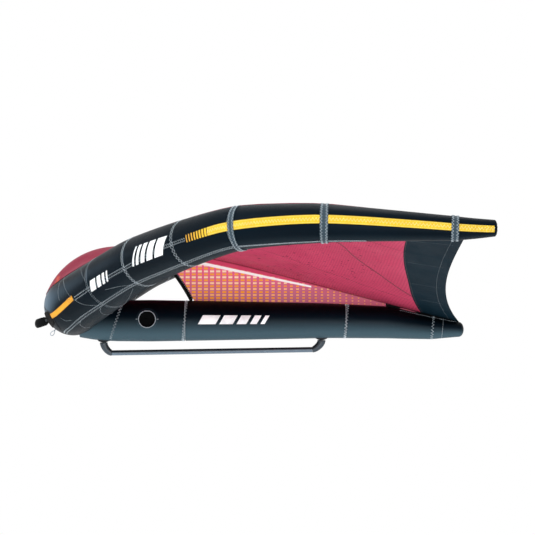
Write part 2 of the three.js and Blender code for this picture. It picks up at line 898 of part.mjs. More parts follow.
// The spring-loaded stem: a mushroom head in the bore that is pressed in to let air out.
function valvePlunger() {
  const centre = (y) => point(valveX, y, valveZ);
  const head = rod(valveBoreRadius - 1, centre(valveFaceY + 3), centre(valveFaceY + 6));
  const stem = rod(plungerRadius / 2, centre(valveFaceY + 5), centre(valveFaceY + 18));
  const disc = rod(valveBoreRadius - fit, centre(valveFaceY + 17), centre(valveFaceY + 20));
  return joined(head, stem, disc);
}

// The cap, with the ear of its tether at the top.
function valveCap() {
  const centre = (y) => point(valveX, y, valveZ);
  const disc = rod(valveCapRadius, centre(capBackY - valveCapThickness), centre(capBackY), 32);
  const ear = new THREE.BoxGeometry(capEarWidth, 3, capEarHeight);
  ear.translate(valveX, capBackY - 2, capPivotZ + 1.5 - capEarHeight / 2);
  return joined(disc, ear);
}

// ---------------------------------------------------------------- nose handle and line loop

// The barrels lie square to the wing, so they stand off the webbing, which curves away outwards.
const handlePivotLift = webbingLift + webbingCloth + handleBarrel + 1.5;
const handlePlace = handleHalfSpan / edgeHalfLength;

function handlePivot(side) {
  return edgePoint(side * handlePlace, webbingAngle(handlePlace), handlePivotLift);
}

// A padded grip swept round a U, thin at its ends, each of which is a barrel on the pivot line.
function noseHandle() {
  const left = handlePivot(-1);
  const right = handlePivot(1);
  const frontX = left.x - handleReach + handleDeep;
  const frontZ = left.z - handleDrop;
  const armX = THREE.MathUtils.lerp(left.x, frontX, 0.6);
  const armZ = THREE.MathUtils.lerp(left.z, frontZ, 0.6);
  const path = new THREE.CatmullRomCurve3([
    left,
    point(armX, left.y * 0.97, armZ),
    point(frontX, left.y * 0.62, frontZ),
    point(frontX - 3, 0, frontZ),
    point(frontX, right.y * 0.62, frontZ),
    point(armX, right.y * 0.97, armZ),
    right,
  ]);
  const steps = 16;
  const rings = evenly(0, 1, steps).map((t) => {
    const centre = path.getPointAt(t);
    const along = path.getTangentAt(t);
    const outward = new THREE.Vector3().crossVectors(along, point(0, 0, 1)).normalize();
    const up = new THREE.Vector3().crossVectors(outward, along).normalize();
    const full = Math.min(1, 4 * Math.sin(Math.PI * t)) ** 0.5;
    const tall = THREE.MathUtils.lerp(handleBarrel - 2, handleTall, full);
    const deep = THREE.MathUtils.lerp(5, handleDeep, full);
    return evenly(0, 324, 9).map((degrees) => {
      const angle = THREE.MathUtils.degToRad(degrees);
      return centre
        .clone()
        .addScaledVector(outward, deep * Math.cos(angle))
        .addScaledVector(up, tall * Math.sin(angle));
    });
  });
  const barrel = (pivot) => {
    const reach = point(0, 9, 0);
    return rod(handleBarrel, pivot.clone().sub(reach), pivot.clone().add(reach), 16);
  };
  return joined(cappedTube(rings), barrel(left), barrel(right));
}

// The short line loop under the nose, as steps from its seat on the casing.
const loopAngle = -51.4;
const loopRoute = [
  [0.9, -4, -0.3],
  [-5, -3.6, -8],
  [-14, -2.6, -12],
  [-22, -1.4, -19],
  [-23, 0, -28],
  [-15, 1.4, -32],
  [-7, 2.6, -26],
  [-3, 3.6, -12],
  [0.9, 4, -0.3],
];

function noseLoop() {
  const seat = edgePoint(0, loopAngle, 0);
  const path = new THREE.CatmullRomCurve3(loopRoute.map(([x, y, z]) => point(seat.x + x, y, seat.z + z)));
  const section = new THREE.Shape().absarc(0, 0, loopLineRadius, 0, 2 * Math.PI);
  const settings = { steps: 14, curveSegments: 4, extrudePath: path, bevelEnabled: false };
  return new THREE.ExtrudeGeometry(section, settings);
}

// ---------------------------------------------------------------- materials

function finish(color, roughness, metalness = 0) {
  return new THREE.MeshStandardMaterial({ color, roughness, metalness });
}

const materials = {
  casing: finish(0x1b2730, 0.55),
  band: finish(0x4a555d, 0.7),
  tape: finish(0xf2b01e, 0.6),
  crimson: finish(0xa8324a, 0.6),
  slate: finish(0x28343c, 0.55),
  web: finish(0xe0885c, 0.5),
  binding: finish(0x15181b, 0.7),
  film: finish(0xc9d3d8, 0.25),
  boom: finish(0x20272d, 0.45),
  moulding: finish(0x23292e, 0.5),
  steel: finish(0xb4b8bb, 0.3, 1),
  rubber: finish(0x17191b, 0.75),
  webbing: finish(0xe8902a, 0.7),
  line: finish(0xa9b6c0, 0.8),
};

// ---------------------------------------------------------------- assembly

const wing = new THREE.Group();

function add(name, geometry, material) {
  const mesh = new THREE.Mesh(geometry, material.clone());
  mesh.name = name;
  wing.add(mesh);
}

add("nose_casing", noseCasing(), materials.casing);
add("edge_bladder", edgeBladder(), materials.film);
for (const [hand, side] of [["left", -1], ["right", 1]]) {
  edgeSeams.slice(1).forEach((seam, i) => {
    add(`edge_casing_${hand}_${i + 1}`, edgeCasing(side, edgeSeams[i], seam), materials.casing);
  });
  bandPlaces.forEach((place, i) => {
    add(`edge_band_${hand}_${i + 1}`, edgeBand(side, place, bandLeans[i]), materials.band);
  });
  add(`edge_tape_${hand}`, edgeTape(side), materials.tape);
  panelStations.forEach((list, i) => {
    const qs = withGaps(list, i === 0);
    add(`canopy_panel_${hand}_${i + 1}`, clothPanel(side, qs, colouredChord), materials.crimson);
    add(`trailing_panel_${hand}_${i + 1}`, clothPanel(side, qs, darkChord), materials.slate);
  });
  add(`tip_panel_${hand}`, clothPanel(side, withGaps(tipStations, false), wholeChord), materials.slate);
}

add("strut_casing_front", strutFront(), materials.casing);
add("strut_casing_middle", strutLength(strutSeams[0], strutSeams[1]), materials.casing);
add("strut_casing_rear", strutLength(strutSeams[1], strutSeams[2]), materials.casing);
add("strut_tail_casing", strutTail(), materials.casing);
add("strut_bladder", strutBladder(), materials.film);
add("bladder_hose", bladderHose(), materials.rubber);
add("web", web(), materials.web);
add("web_binding", webBinding(), materials.binding);

add("boom_bar", boomBar(), materials.boom);
add("boom_elbow_front", boomElbow(frontLegX, boomFrontX, legRadius), materials.moulding);
add("boom_elbow_rear", boomElbow(rearLegX, boomRearX, rearLegRadius), materials.moulding);
add("boom_pad_front", boomPad(frontLegX), materials.rubber);
add("boom_pad_rear", boomPad(rearLegX), materials.rubber);
add("boom_pin_front", boomPin(frontLegX, legRadius - 1), materials.steel);
add("boom_pin_rear", boomPin(rearLegX, rearLegRadius - 1), materials.steel);

add("valve_base", valveBase(), materials.moulding);
add("valve_plunger", valvePlunger(), materials.rubber);
add("valve_cap", valveCap(), materials.moulding);
add("nose_webbing", noseWebbing(), materials.webbing);
add("nose_handle", noseHandle(), materials.rubber);
add("nose_loop", noseLoop(), materials.line);

export default wing;
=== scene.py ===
"""The looks of an inflatable hand wing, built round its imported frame.

Shapes are worked out in millimetres in the frame's axes (X from nose to tail, Y across, Z up)
and turned into metres when a mesh is made.
"""

import math

import bpy
import numpy as np
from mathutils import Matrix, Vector


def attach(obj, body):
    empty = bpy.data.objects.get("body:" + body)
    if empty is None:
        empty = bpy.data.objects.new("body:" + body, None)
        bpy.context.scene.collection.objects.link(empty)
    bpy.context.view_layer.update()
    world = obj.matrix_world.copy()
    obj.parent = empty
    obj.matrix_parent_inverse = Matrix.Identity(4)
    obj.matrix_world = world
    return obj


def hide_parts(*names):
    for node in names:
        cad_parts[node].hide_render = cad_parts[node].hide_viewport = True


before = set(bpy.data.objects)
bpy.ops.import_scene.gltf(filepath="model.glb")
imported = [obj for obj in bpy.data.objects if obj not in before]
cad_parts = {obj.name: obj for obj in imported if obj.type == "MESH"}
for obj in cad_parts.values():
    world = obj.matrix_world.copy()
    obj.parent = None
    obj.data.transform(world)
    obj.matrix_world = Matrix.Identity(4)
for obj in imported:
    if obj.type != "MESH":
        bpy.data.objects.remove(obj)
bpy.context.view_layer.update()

MM = 0.001
SIDES = (("left", -1), ("right", 1))
NEAR = np.array([0, -1.0, 0])  # out of the near side

# ---------------------------------------------------------------- driving dimensions, as in the CAD source

NOSE_X, NOSE_Z = -665, 217
TIP_X = 1247
HALF_SPAN = 1420
TIP_RISE = 360
NOSE_RADIUS, TIP_RADIUS = 140.6, 36
EDGE_TENSION = 0.36
EDGE_PLACES = [
    (0, 0, 0),
    (0.012, 0.09, 0.04),
    (0.066, 0.211, 0.22),
    (0.173, 0.412, 0.56),
    (0.293, 0.623, 0.805),
    (0.424, 0.803, 0.995),
    (0.617, 0.954, 1.045),
    (0.91, 1.003, 0.983),
    (1, 0.986, 0.985),
]
EDGE_RADII = [(0, 1), (0.35, 0.745), (0.7, 0.478), (0.93, 0.165), (1, 0)]

STRUT_FRONT_X, TAIL_X = -640, 1184
STRUT_AXIS_Z, STRUT_TAIL_Z = 146.5, 105
STRUT_RADIUS, STRUT_TAIL_RADIUS = 99.5, 35.5
TAIL_CAP = 24
STRUT_PLACES = [
    (0, 0.664, 0),
    (0.044, 0.883, 0),
    (0.093, 0.977, 0),
    (0.188, 1, 0),
    (0.451, 0.867, 0),
    (0.659, 0.742, 0),
    (0.811, 0.641, 0.19),
    (0.854, 0.523, 0.42),
    (0.927, 0.305, 0.81),
    (1, 0, 1),
]
STRUT_SEAM_SHARES = [0.2796, 0.7034, 0.9298]

CANOPY_END = 0.962
TRAILING_BOW, TRAILING_ARCH = 74, 12
DARK_ROOT, DARK_TIP = 130, 200
DARK_NARROWING = 18  # how much narrower the dark panels are a little out from the strut
WEB_FOOT_X, WEB_BOW = -86, 30
WEB_HEAD_SHARE = (7 / 11) ** 1.8

BOOM_LENGTH, BOOM_RADIUS, BOOM_TILT = 962, 12.5, 8
LEGS = (("front", -520, -BOOM_LENGTH / 2, 17), ("rear", 525, BOOM_LENGTH / 2, 18))
PAD_LENGTH, PAD_WIDTH, PAD_THICKNESS = 56, 44, 9
STUD_LENGTH = 20

VALVE_X, VALVE_Z = -308, 156
VALVE_RADIUS, VALVE_CAP_RADIUS = 42.7, 36.5

LOOP_RADIUS = 1.6

# ---------------------------------------------------------------- camera

# Level with the wing's side, far enough away for a long lens.
CAMERA_PLACE = (0.266, -14.0, 0.402)
FIELD_WIDTH = 2.568  # metres across the picture at the wing's centre plane
SENSOR = 36.0

camera_data = bpy.data.cameras.new("camera")
camera_data.sensor_width = SENSOR
camera_data.lens = SENSOR * -CAMERA_PLACE[1] / FIELD_WIDTH
camera_data.clip_end = 100
camera = bpy.data.objects.new("camera", camera_data)
camera.location = CAMERA_PLACE
camera.rotation_euler = (math.radians(90), 0, 0)
bpy.context.scene.collection.objects.link(camera)
bpy.context.scene.camera = camera

# ---------------------------------------------------------------- leading edge, as a surface


def edge_line():
    """The tube's centre line, tip to tip, and the distance along it."""
    half = np.array(
        [
            (NOSE_X + a * (TIP_X - NOSE_X), b * HALF_SPAN, NOSE_Z + c * TIP_RISE)
            for a, b, c in EDGE_PLACES
        ]
    )
    places = np.concatenate([half[:0:-1] * [1, -1, 1], half])
    before, after = 2 * places[0] - places[1], 2 * places[-1] - places[-2]
    padded = np.concatenate([[before], places, [after]])
    t = np.linspace(0, 1, 51)[:-1, None]
    spans = []
    for i in range(1, len(padded) - 2):
        a, b = padded[i], padded[i + 1]
        leave = EDGE_TENSION * (b - padded[i - 1])
        arrive = EDGE_TENSION * (padded[i + 2] - a)
        spans.append(
            (2 * t**3 - 3 * t**2 + 1) * a
            + (t**3 - 2 * t**2 + t) * leave
            + (3 * t**2 - 2 * t**3) * b
            + (t**3 - t**2) * arrive
        )
    line = np.concatenate([*spans, places[-1:]])
    steps = np.linalg.norm(np.diff(line, axis=0), axis=1)
    return line, np.concatenate([[0], np.cumsum(steps)])


EDGE_LINE, EDGE_ALONG = edge_line()
EDGE_HALF = EDGE_ALONG[-1] / 2


def unit(v):
    return v / np.maximum(np.linalg.norm(v, axis=-1, keepdims=True), 1e-9)


def edge_centre(s):
    """Centre of the tube at s, from -1 at the left tip through 0 at the nose to 1 at the right tip."""
    along = np.clip(0.5 + np.asarray(s, float) / 2, 0, 1) * EDGE_ALONG[-1]
    return np.stack([np.interp(along, EDGE_ALONG, EDGE_LINE[:, k]) for k in range(3)], -1)


def edge_axes(s):
    """Forward and up across the tube at s."""
    reach = 3e-3
    s = np.asarray(s, float)
    tangent = unit(edge_centre(np.minimum(s + reach, 1)) - edge_centre(np.maximum(s - reach, -1)))
    up = unit(np.array([0, 0, 1.0]) - tangent * tangent[..., 2:])
    return np.cross(up, tangent), up


def edge_radius(s):
    shares, fullness = zip(*EDGE_RADII)
    return TIP_RADIUS + (NOSE_RADIUS - TIP_RADIUS) * np.interp(np.abs(s), shares, fullness)


def place_share(index):
    """Share of a half at which one of the listed places lies."""
    middle = len(EDGE_PLACES) - 1
    return EDGE_ALONG[(middle + index) * 50] / EDGE_HALF - 1


BAND_PLACES = [place_share(i) for i in (5, 6, 7)]
EDGE_SEAMS = [0.1755, 0.2915, 0.43, *BAND_PLACES, 1]


def edge_skin(s, degrees):
    """How far the inflated cloth stands over its nominal radius: drawn in and puckered at ring seams."""
    s = np.abs(s)
    lift = np.full(np.broadcast(s, degrees).shape, 0.4)
    angle = np.radians(degrees)
    for i, seam in enumerate(EDGE_SEAMS[:-1]):
        gap = np.abs(s - seam) * EDGE_HALF
        lift = lift - 1.3 * np.exp(-((gap / 9) ** 2))
        waves = np.sin(17 * angle + 2 * i) + 0.7 * np.sin(29 * angle + 5 * i)
        lift = lift + 0.32 * waves * np.exp(-((gap - 20) ** 2) / 300)
    return lift


def edge_surface(s, degrees, lift=0.0):
    """Points over the tube's cloth and the directions away from it; 0 degrees faces forward, 90 up."""
    s, degrees = np.broadcast_arrays(np.asarray(s, float), np.asarray(degrees, float))
    forward, up = edge_axes(s)
    angle = np.radians(degrees)[..., None]
    away = forward * np.cos(angle) + up * np.sin(angle)
    radius = (edge_radius(s) + edge_skin(s, degrees) + lift)[..., None]
    return edge_centre(s) + radius * away, away


# ---------------------------------------------------------------- strut, as a surface

STRUT_X = np.arange(STRUT_FRONT_X, TAIL_X + 1, 2.0)


def eased(values, spread=14):
    """Rounds the corners of an evenly read profile."""
    weights = np.exp(-np.linspace(-2, 2, 2 * spread + 1) ** 2)
    padded = np.concatenate(
        [
            2 * values[0] - values[spread:0:-1],
            values,
            2 * values[-1] - values[-2 : -spread - 2 : -1],
        ]
    )
    return np.convolve(padded, weights / weights.sum(), mode="valid")


def strut_profile(column, start, end):
    shares, *columns = zip(*STRUT_PLACES)
    share = (STRUT_X - STRUT_FRONT_X) / (TAIL_X - STRUT_FRONT_X)
    return eased(start + (end - start) * np.interp(share, shares, columns[column]))


STRUT_RADII = strut_profile(0, STRUT_TAIL_RADIUS, STRUT_RADIUS)
STRUT_AXIS = strut_profile(1, STRUT_AXIS_Z, STRUT_TAIL_Z)
STRUT_SEAMS = [STRUT_FRONT_X + share * (TAIL_X - STRUT_FRONT_X) for share in STRUT_SEAM_SHARES]
SEAM_SLANT = 0.09  # how far the ring seams lean towards the tail with height


def strut_radius(x):
    return np.interp(x, STRUT_X, STRUT_RADII)


def strut_axis(x):
    return np.interp(x, STRUT_X, STRUT_AXIS)


def strut_skin(x, degrees):
    lift = np.full(np.broadcast(x, degrees).shape, 0.2)
    angle = np.radians(degrees)
    for i, seam in enumerate(STRUT_SEAMS):
        gap = np.abs(x - seam - SEAM_SLANT * strut_radius(seam) * np.sin(angle))
        lift = lift - 0.9 * np.exp(-((gap / 8) ** 2))
        waves = np.sin(13 * angle + 3 * i) + 0.7 * np.sin(23 * angle + 4 * i)
        lift = lift + 0.22 * waves * np.exp(-((gap - 18) ** 2) / 240)
    return lift


def strut_surface(x, degrees, lift=0.0):
    """0 degrees faces +Y, 90 up and 180 towards -Y."""
    x, degrees = np.broadcast_arrays(np.asarray(x, float), np.asarray(degrees, float))
    angle = np.radians(degrees)
    away = np.stack([np.zeros_like(angle), np.cos(angle), np.sin(angle)], -1)
    radius = (strut_radius(x) + strut_skin(x, degrees) + lift)[..., None]
    axis = np.stack([x, np.zeros_like(x), strut_axis(x)], -1)
    return axis + radius * away, away


# ---------------------------------------------------------------- canopy, as a surface

TAIL_TOP = STRUT_TAIL_Z + STRUT_TAIL_RADIUS + 1
CANOPY_LIFT, CANOPY_TIP_LIFT = 1.6, 3.0


def cloth_angle(q):
    return 22 + 68 * (1 - (1 - q) ** 8) + 85 * q**8


def trailing_point(side, w):
    """The trailing edge from the strut's tail, w = 0, to the leading edge, w = 1."""
    tail = np.array([TAIL_X, 0, TAIL_TOP], float)
    tip, _ = edge_surface(side * CANOPY_END, cloth_angle(1.0), CANOPY_TIP_LIFT)
    hollow = 4 * w * (1 - w)
    result = tail + (tip - tail) * w[..., None]
    result[..., 0] -= TRAILING_BOW * hollow * (1.5 - w)
    result[..., 2] += TRAILING_ARCH * hollow
    return result


def canopy_point(q, v):
    """The cloth's lower face: q from -1 to 1 along the leading edge, v from there to the trailing edge."""
    q, v = np.broadcast_arrays(np.asarray(q, float), np.asarray(v, float))
    side, share = np.where(q < 0, -1.0, 1.0), np.abs(q)
    s = side * share * CANOPY_END
    lift = CANOPY_LIFT + (CANOPY_TIP_LIFT - CANOPY_LIFT) * share**4
    start, out = edge_surface(s, cloth_angle(share), lift)
    outwards = share * (1 + 0.55 * (1 - share))
    end = np.where(side[..., None] < 0, trailing_point(-1, outwards), trailing_point(1, outwards))
    chord = end - start
    length = np.linalg.norm(chord, axis=-1, keepdims=True)
    heading = chord / np.maximum(length, 1e-6)
    leave = unit(heading - out * (heading * out).sum(-1, keepdims=True))
    arrive = unit(heading + [0, 0, -0.17])
    a, b = start + 0.25 * length * leave, end - 0.5 * length * arrive
    t = v[..., None]
    result = (1 - t) ** 3 * start + 3 * t * (1 - t) ** 2 * a + 3 * t**2 * (1 - t) * b + t**3 * end
    result[..., 1] = side * np.maximum(0, side * result[..., 1])
    return result


def chord_length(q):
    return np.linalg.norm(canopy_point(q, 0.0) - canopy_point(q, 1.0), axis=-1)


def dark_start(q):
    """Where the dark trailing panels begin."""
    share = np.abs(q)
    depth = DARK_ROOT + (DARK_TIP - DARK_ROOT) * share - DARK_NARROWING * hump(share, 0.2, 0.16)
    return np.maximum(0, 1 - depth / np.maximum(chord_length(q), 1))


def hump(value, centre, width):
    """A smooth bump of height 1."""
    return np.exp(-(((value - centre) / width) ** 2))


def canopy_shape(q, v):
    """The flown cloth: each panel is filled a little between the seams, with ripples off the tube."""
    q, v = np.broadcast_arrays(np.asarray(q, float), np.asarray(v, float))
    base = canopy_point(q, v)
    step = 2e-3
    inner = np.clip(np.abs(q), step, 0.99) * np.where(q < 0, -1, 1)
    middle = np.clip(v, step, 1 - step)
    across = canopy_point(inner + step, middle) - canopy_point(inner - step, middle)
    along = canopy_point(inner, middle + step) - canopy_point(inner, middle - step)
    normal = unit(np.cross(along, across))
    normal = normal * np.where(normal[..., 2:] < 0, -1, 1)
    share = np.abs(q)
    seams = np.array([0, 0.13, 0.3, 0.44, 0.58, 0.72, 0.85, 1.0])
    panel = np.clip(np.searchsorted(seams, share, side="right") - 1, 0, len(seams) - 2)
    place = (share - seams[panel]) / (seams[panel + 1] - seams[panel])
    fill = 4 * place * (1 - place) * np.sin(np.pi * v) ** 0.7 * np.minimum(1, chord_length(q) / 900)
    ripple = np.sin(94 * share + 9 * v) * np.exp(-v / 0.07) * (v > 0.004) * np.minimum(1, v / 0.02)
    crown = 15 * hump(v, 0.27, 0.13) * hump(share, 0, 0.2) * np.minimum(1, v / 0.05)
    roll = 9 * hump(v, 0.075, 0.05) * hump(share, 0.34, 0.14)
    height = 5.0 * fill + crown + roll + 0.8 * ripple * np.minimum(1, share / 0.1)
    return base + normal * height[..., None], normal


# ---------------------------------------------------------------- meshes


class Bag:
    """Gathers points and faces for one mesh, with the cloth's own coordinates in millimetres."""

    def __init__(self):
        self.points, self.faces, self.cloth, self.count = [], [], [], 0

    def add(self, points, faces, cloth=None, ends=()):
        points = np.asarray(points, float).reshape(-1, 3)
        self.points.append(points)
        self.faces.extend((np.asarray(faces, int) + self.count).tolist())
        self.faces.extend([[p + self.count for p in end] for end in ends])
        self.cloth.append(np.zeros((len(points), 2)) if cloth is None else cloth.reshape(-1, 2))
        self.count += len(points)
        return self

    def close(self, ring, centre, turned=False):
        """A fan of triangles from a ring of points to a centre."""
        count = len(ring)
        fan = [[j, (j + 1) % count, count] for j in range(count)]
        if turned:
            fan = [[b, a, c] for a, b, c in fan]
        return self.add(np.concatenate([ring, [centre]]), fan)

    def piece(self, name, material, body="wing", smooth=35, replaces=(), slot=None):
        mesh = bpy.data.meshes.new(name)
        points = np.concatenate(self.points) * MM
        mesh.from_pydata(points.tolist(), [], self.faces)
        for title, values in zip(("cloth_u", "cloth_v"), np.concatenate(self.cloth).T):
            attribute = mesh.attributes.new(title, "FLOAT", "POINT")
            attribute.data.foreach_set("value", values.astype(np.float32))
        mesh.validate()
        mesh.shade_smooth()
        if smooth:
            mesh.set_sharp_from_angle(angle=math.radians(smooth))
        piece = bpy.data.objects.new(name, mesh)
        bpy.context.scene.collection.objects.link(piece)
        piece.data.materials.append(material)
        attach(piece, body)
        if replaces:
            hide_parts(*replaces)
        return piece


def around(count):
    """Angles in radians, evenly round a circle."""
    return np.arange(count) * 2 * np.pi / count


def grid_faces(rows, columns, wrap=False, turned=False):
    last = columns if wrap else columns - 1
    i, j = np.meshgrid(np.arange(rows - 1), np.arange(last), indexing="ij")
    k = (j + 1) % columns
    corners = [i * columns + j, (i + 1) * columns + j, (i + 1) * columns + k, i * columns + k]
    faces = np.stack(corners, -1).reshape(-1, 4)
    return faces[:, ::-1] if turned else faces


def cloth_coordinates(grid):
    """Distances down the rows and across the columns of a grid of points."""

    def distances(axis):
        steps = np.linalg.norm(np.diff(grid, axis=axis), axis=-1)
        start = np.zeros_like(np.take(steps, [0], axis=axis))
        return np.cumsum(np.concatenate([start, steps], axis=axis), axis=axis)

    return np.stack([distances(0), distances(1)], -1)


def shell(bag, grid, away, thickness, wrap=False):
    """A closed slab of cloth: the grid and a copy of it moved away by the thickness."""
    rows, columns = grid.shape[:2]
    cloth = cloth_coordinates(grid)
    outer = grid + away * thickness
    count = rows * columns
    faces = [grid_faces(rows, columns, wrap, turned=True), grid_faces(rows, columns, wrap) + count]
    number = np.arange(count).reshape(rows, columns)

    def rim(edge, flip):
        a, b = edge[:-1], edge[1:]
        quad = np.stack([a, b, b + count, a + count], -1)
        faces.append(quad[:, ::-1] if flip else quad)

    for row, flip in ((number[0], True), (number[-1], False)):
        rim(np.append(row, row[0]) if wrap else row, flip)
    if not wrap:
        rim(number[:, 0], False)
        rim(number[:, -1], True)
    both = np.concatenate([cloth, cloth])
    return bag.add(np.concatenate([grid.reshape(-1, 3), outer.reshape(-1, 3)]), np.concatenate(faces), both)


def tube(bag, path, away, radii, sides=4, flat=1.0):
    """A closed tube along a path; flat is its height as a share of its width."""
    path = np.asarray(path, float)
    away = unit(np.broadcast_to(away, path.shape))
    tangent = unit(np.gradient(path, axis=0))
    side = unit(np.cross(tangent, away))
    lift = np.cross(side, tangent)
    angle = around(sides)
    radii = np.broadcast_to(radii, len(path))[:, None, None]
    ring = side[:, None] * np.cos(angle)[:, None] + flat * lift[:, None] * np.sin(angle)[:, None]
    grid = path[:, None] + ring * radii
    last = (len(path) - 1) * sides
    ends = [range(sides), range(last + sides - 1, last - 1, -1)]
    return bag.add(grid, grid_faces(len(path), sides, wrap=True), cloth_coordinates(grid), ends)


def resampled(path, away, pitch):
    """A path and its outward directions again, with points about a pitch apart."""
    along = np.concatenate([[0], np.cumsum(np.linalg.norm(np.diff(path, axis=0), axis=1))])
    count = max(2, int(round(along[-1] / pitch)) + 1)
    at = np.linspace(0, along[-1], count)
    points = np.stack([np.interp(at, along, path[:, k]) for k in range(3)], -1)
    return points, unit(np.stack([np.interp(at, along, away[:, k]) for k in range(3)], -1))


THREAD = 0.85  # radius of a sewing thread


def zigzag(bag, line, width=7, pitch=9, radius=THREAD):
    """A zigzag stitch along a line on a surface."""
    path, away = resampled(*line, pitch / 2)
    side = unit(np.cross(np.gradient(path, axis=0), away))
    swing = np.where(np.arange(len(path)) % 2 == 0, 0.5, -0.5)[:, None]
    return tube(bag, path + side * swing * width + away * radius * 0.6, away, radius, flat=0.8)


def running(bag, line, stitch=6, gap=4, radius=THREAD):
    """A running stitch: separate short threads with thin ends."""
    path, away = resampled(*line, 2.0)
    along = np.arange(len(path)) * 2.0
    for start in np.arange(0, along[-1] - stitch, stitch + gap):
        at = start + stitch * np.array([0, 0.2, 0.8, 1])
        points = np.stack([np.interp(at, along, path[:, k]) for k in range(3)], -1)
        out = np.stack([np.interp(at, along, away[:, k]) for k in range(3)], -1)
        height = radius * np.array([0, 0.7, 0.7, 0])[:, None]
        tube(bag, points + out * height, out, radius * np.array([0.35, 1, 1, 0.35]), flat=0.8)
    return bag


def read(table, count=60):
    """A smooth path through a short list of surface coordinates."""
    table = np.asarray(table, float)
    at = np.concatenate([[0], np.cumsum(np.linalg.norm(np.diff(table * [2600, 2], axis=0), axis=1))])
    where = np.linspace(0, at[-1], count)
    rough = np.stack([np.interp(where, at, table[:, k]) for k in range(2)], -1)
    if len(table) < 3:
        return rough
    weights = np.hanning(count // 6 * 2 + 1)
    weights /= weights.sum()
    pad = len(weights) // 2
    ends = [2 * rough[0] - rough[pad:0:-1], rough, 2 * rough[-1] - rough[-2 : -pad - 2 : -1]]
    padded = np.concatenate(ends)
    return np.stack([np.convolve(padded[:, k], weights, mode="valid") for k in range(2)], -1)


def edge_seam(side, table, lift=0.2):
    path = read(table)
    return edge_surface(side * path[:, 0], path[:, 1], lift)


# ---------------------------------------------------------------- materials


class Finish:
    """A node material with a few helpers, so that each finish below reads as a recipe."""

    def __init__(self, name, roughness, **sockets):
        self.material = bpy.data.materials.new(name)
        self.material.use_nodes = True
        self.tree = self.material.node_tree
        self.shader = self.tree.nodes["Principled BSDF"]
        self.shader.inputs["Roughness"].default_value = roughness
        for socket, value in sockets.items():
            self.shader.inputs[socket.replace("_", " ")].default_value = value

    def feed(self, socket, value):
        if isinstance(value, bpy.types.NodeSocket):
            self.tree.links.new(value, socket)
        else:
            socket.default_value = value

    def node(self, kind, inputs=(), **settings):
        made = self.tree.nodes.new(kind)
        for key, value in settings.items():
            setattr(made, key, value)
        for key, value in dict(inputs).items():
            self.feed(made.inputs[key], value)
        return made

    def math(self, operation, a, b=0.0, c=0.0, clamp=False):
        inputs = {0: a, 1: b, 2: c}
        return self.node("ShaderNodeMath", inputs, operation=operation, use_clamp=clamp).outputs[0]

    def mix(self, factor, a, b):
        inputs = {0: factor, 6: a, 7: b}
        return self.node("ShaderNodeMix", inputs, data_type="RGBA").outputs[2]

    def place(self):
        """Object coordinates in metres, as one vector."""
        return self.node("ShaderNodeTexCoord").outputs["Object"]

    def axes(self):
        return self.node("ShaderNodeSeparateXYZ", {0: self.place()}).outputs

    def facing(self):
        """The way the surface faces in the object's own axes."""
        made = self.node("ShaderNodeTexCoord").outputs["Normal"]
        return self.node("ShaderNodeSeparateXYZ", {0: made}).outputs

    def cloth(self):
        """The cloth's own coordinates in millimetres."""
        kind = "ShaderNodeAttribute"
        return [self.node(kind, attribute_name=n).outputs["Fac"] for n in ("cloth_u", "cloth_v")]

    def noise(self, scale, detail=3.0, roughness=0.55):
        inputs = {"Vector": self.place(), "Scale": scale, "Detail": detail, "Roughness": roughness}
        return self.node("ShaderNodeTexNoise", inputs).outputs["Fac"]

    def ramp(self, value, low, high):
        """0 below low and 1 above high, smooth between them."""
        inputs = {"Value": value, "From Min": low, "From Max": high}
        made = self.node("ShaderNodeMapRange", inputs, interpolation_type="SMOOTHSTEP")
        return made.outputs[0]

    def wave(self, value, pitch):
        """A wave from -1 to 1 with the given pitch."""
        return self.math("SINE", self.math("MULTIPLY", value, 2 * math.pi / pitch))

    def weave(self, pitch):
        """Threads over and under each other: 1 on a thread, -1 in a hole."""
        u, v = self.cloth()
        return self.math("MULTIPLY", self.wave(u, pitch), self.wave(v, pitch))

    def grid(self, pitch, width):
        """1 on the lines of a square grid."""
        lines = []
        for value in self.cloth():
            near = self.math("PINGPONG", value, pitch / 2)
            lines.append(self.math("LESS_THAN", near, width / 2))
        return self.math("MAXIMUM", *lines)

    def colour(self, socket):
        self.feed(self.shader.inputs["Base Color"], socket)
        return self

    def rough(self, low, high, scale=9.0):
        spread = self.noise(scale, 4.0)
        inputs = {"Value": spread, "From Min": 0.3, "From Max": 0.7, "To Min": low, "To Max": high}
        self.feed(self.shader.inputs["Roughness"], self.node("ShaderNodeMapRange", inputs).outputs[0])
        return self

    def bump(self, height, distance, strength=1.0):
        """Bumps of the given height in millimetres."""
        inputs = {"Height": height, "Distance": distance * MM, "Strength": strength}
        made = self.node("ShaderNodeBump", inputs)
        self.feed(self.shader.inputs["Normal"], made.outputs[0])
        return self


def rgb(*values):
    """A colour from its 0 to 255 screen values."""
    shares = [v / 255 for v in values]
    return tuple(s / 12.92 if s <= 0.04045 else ((s + 0.055) / 1.055) ** 2.4 for s in shares) + (1,)


def dimmed(colour, share):
    return tuple(c * share for c in colour[:3]) + (1,)


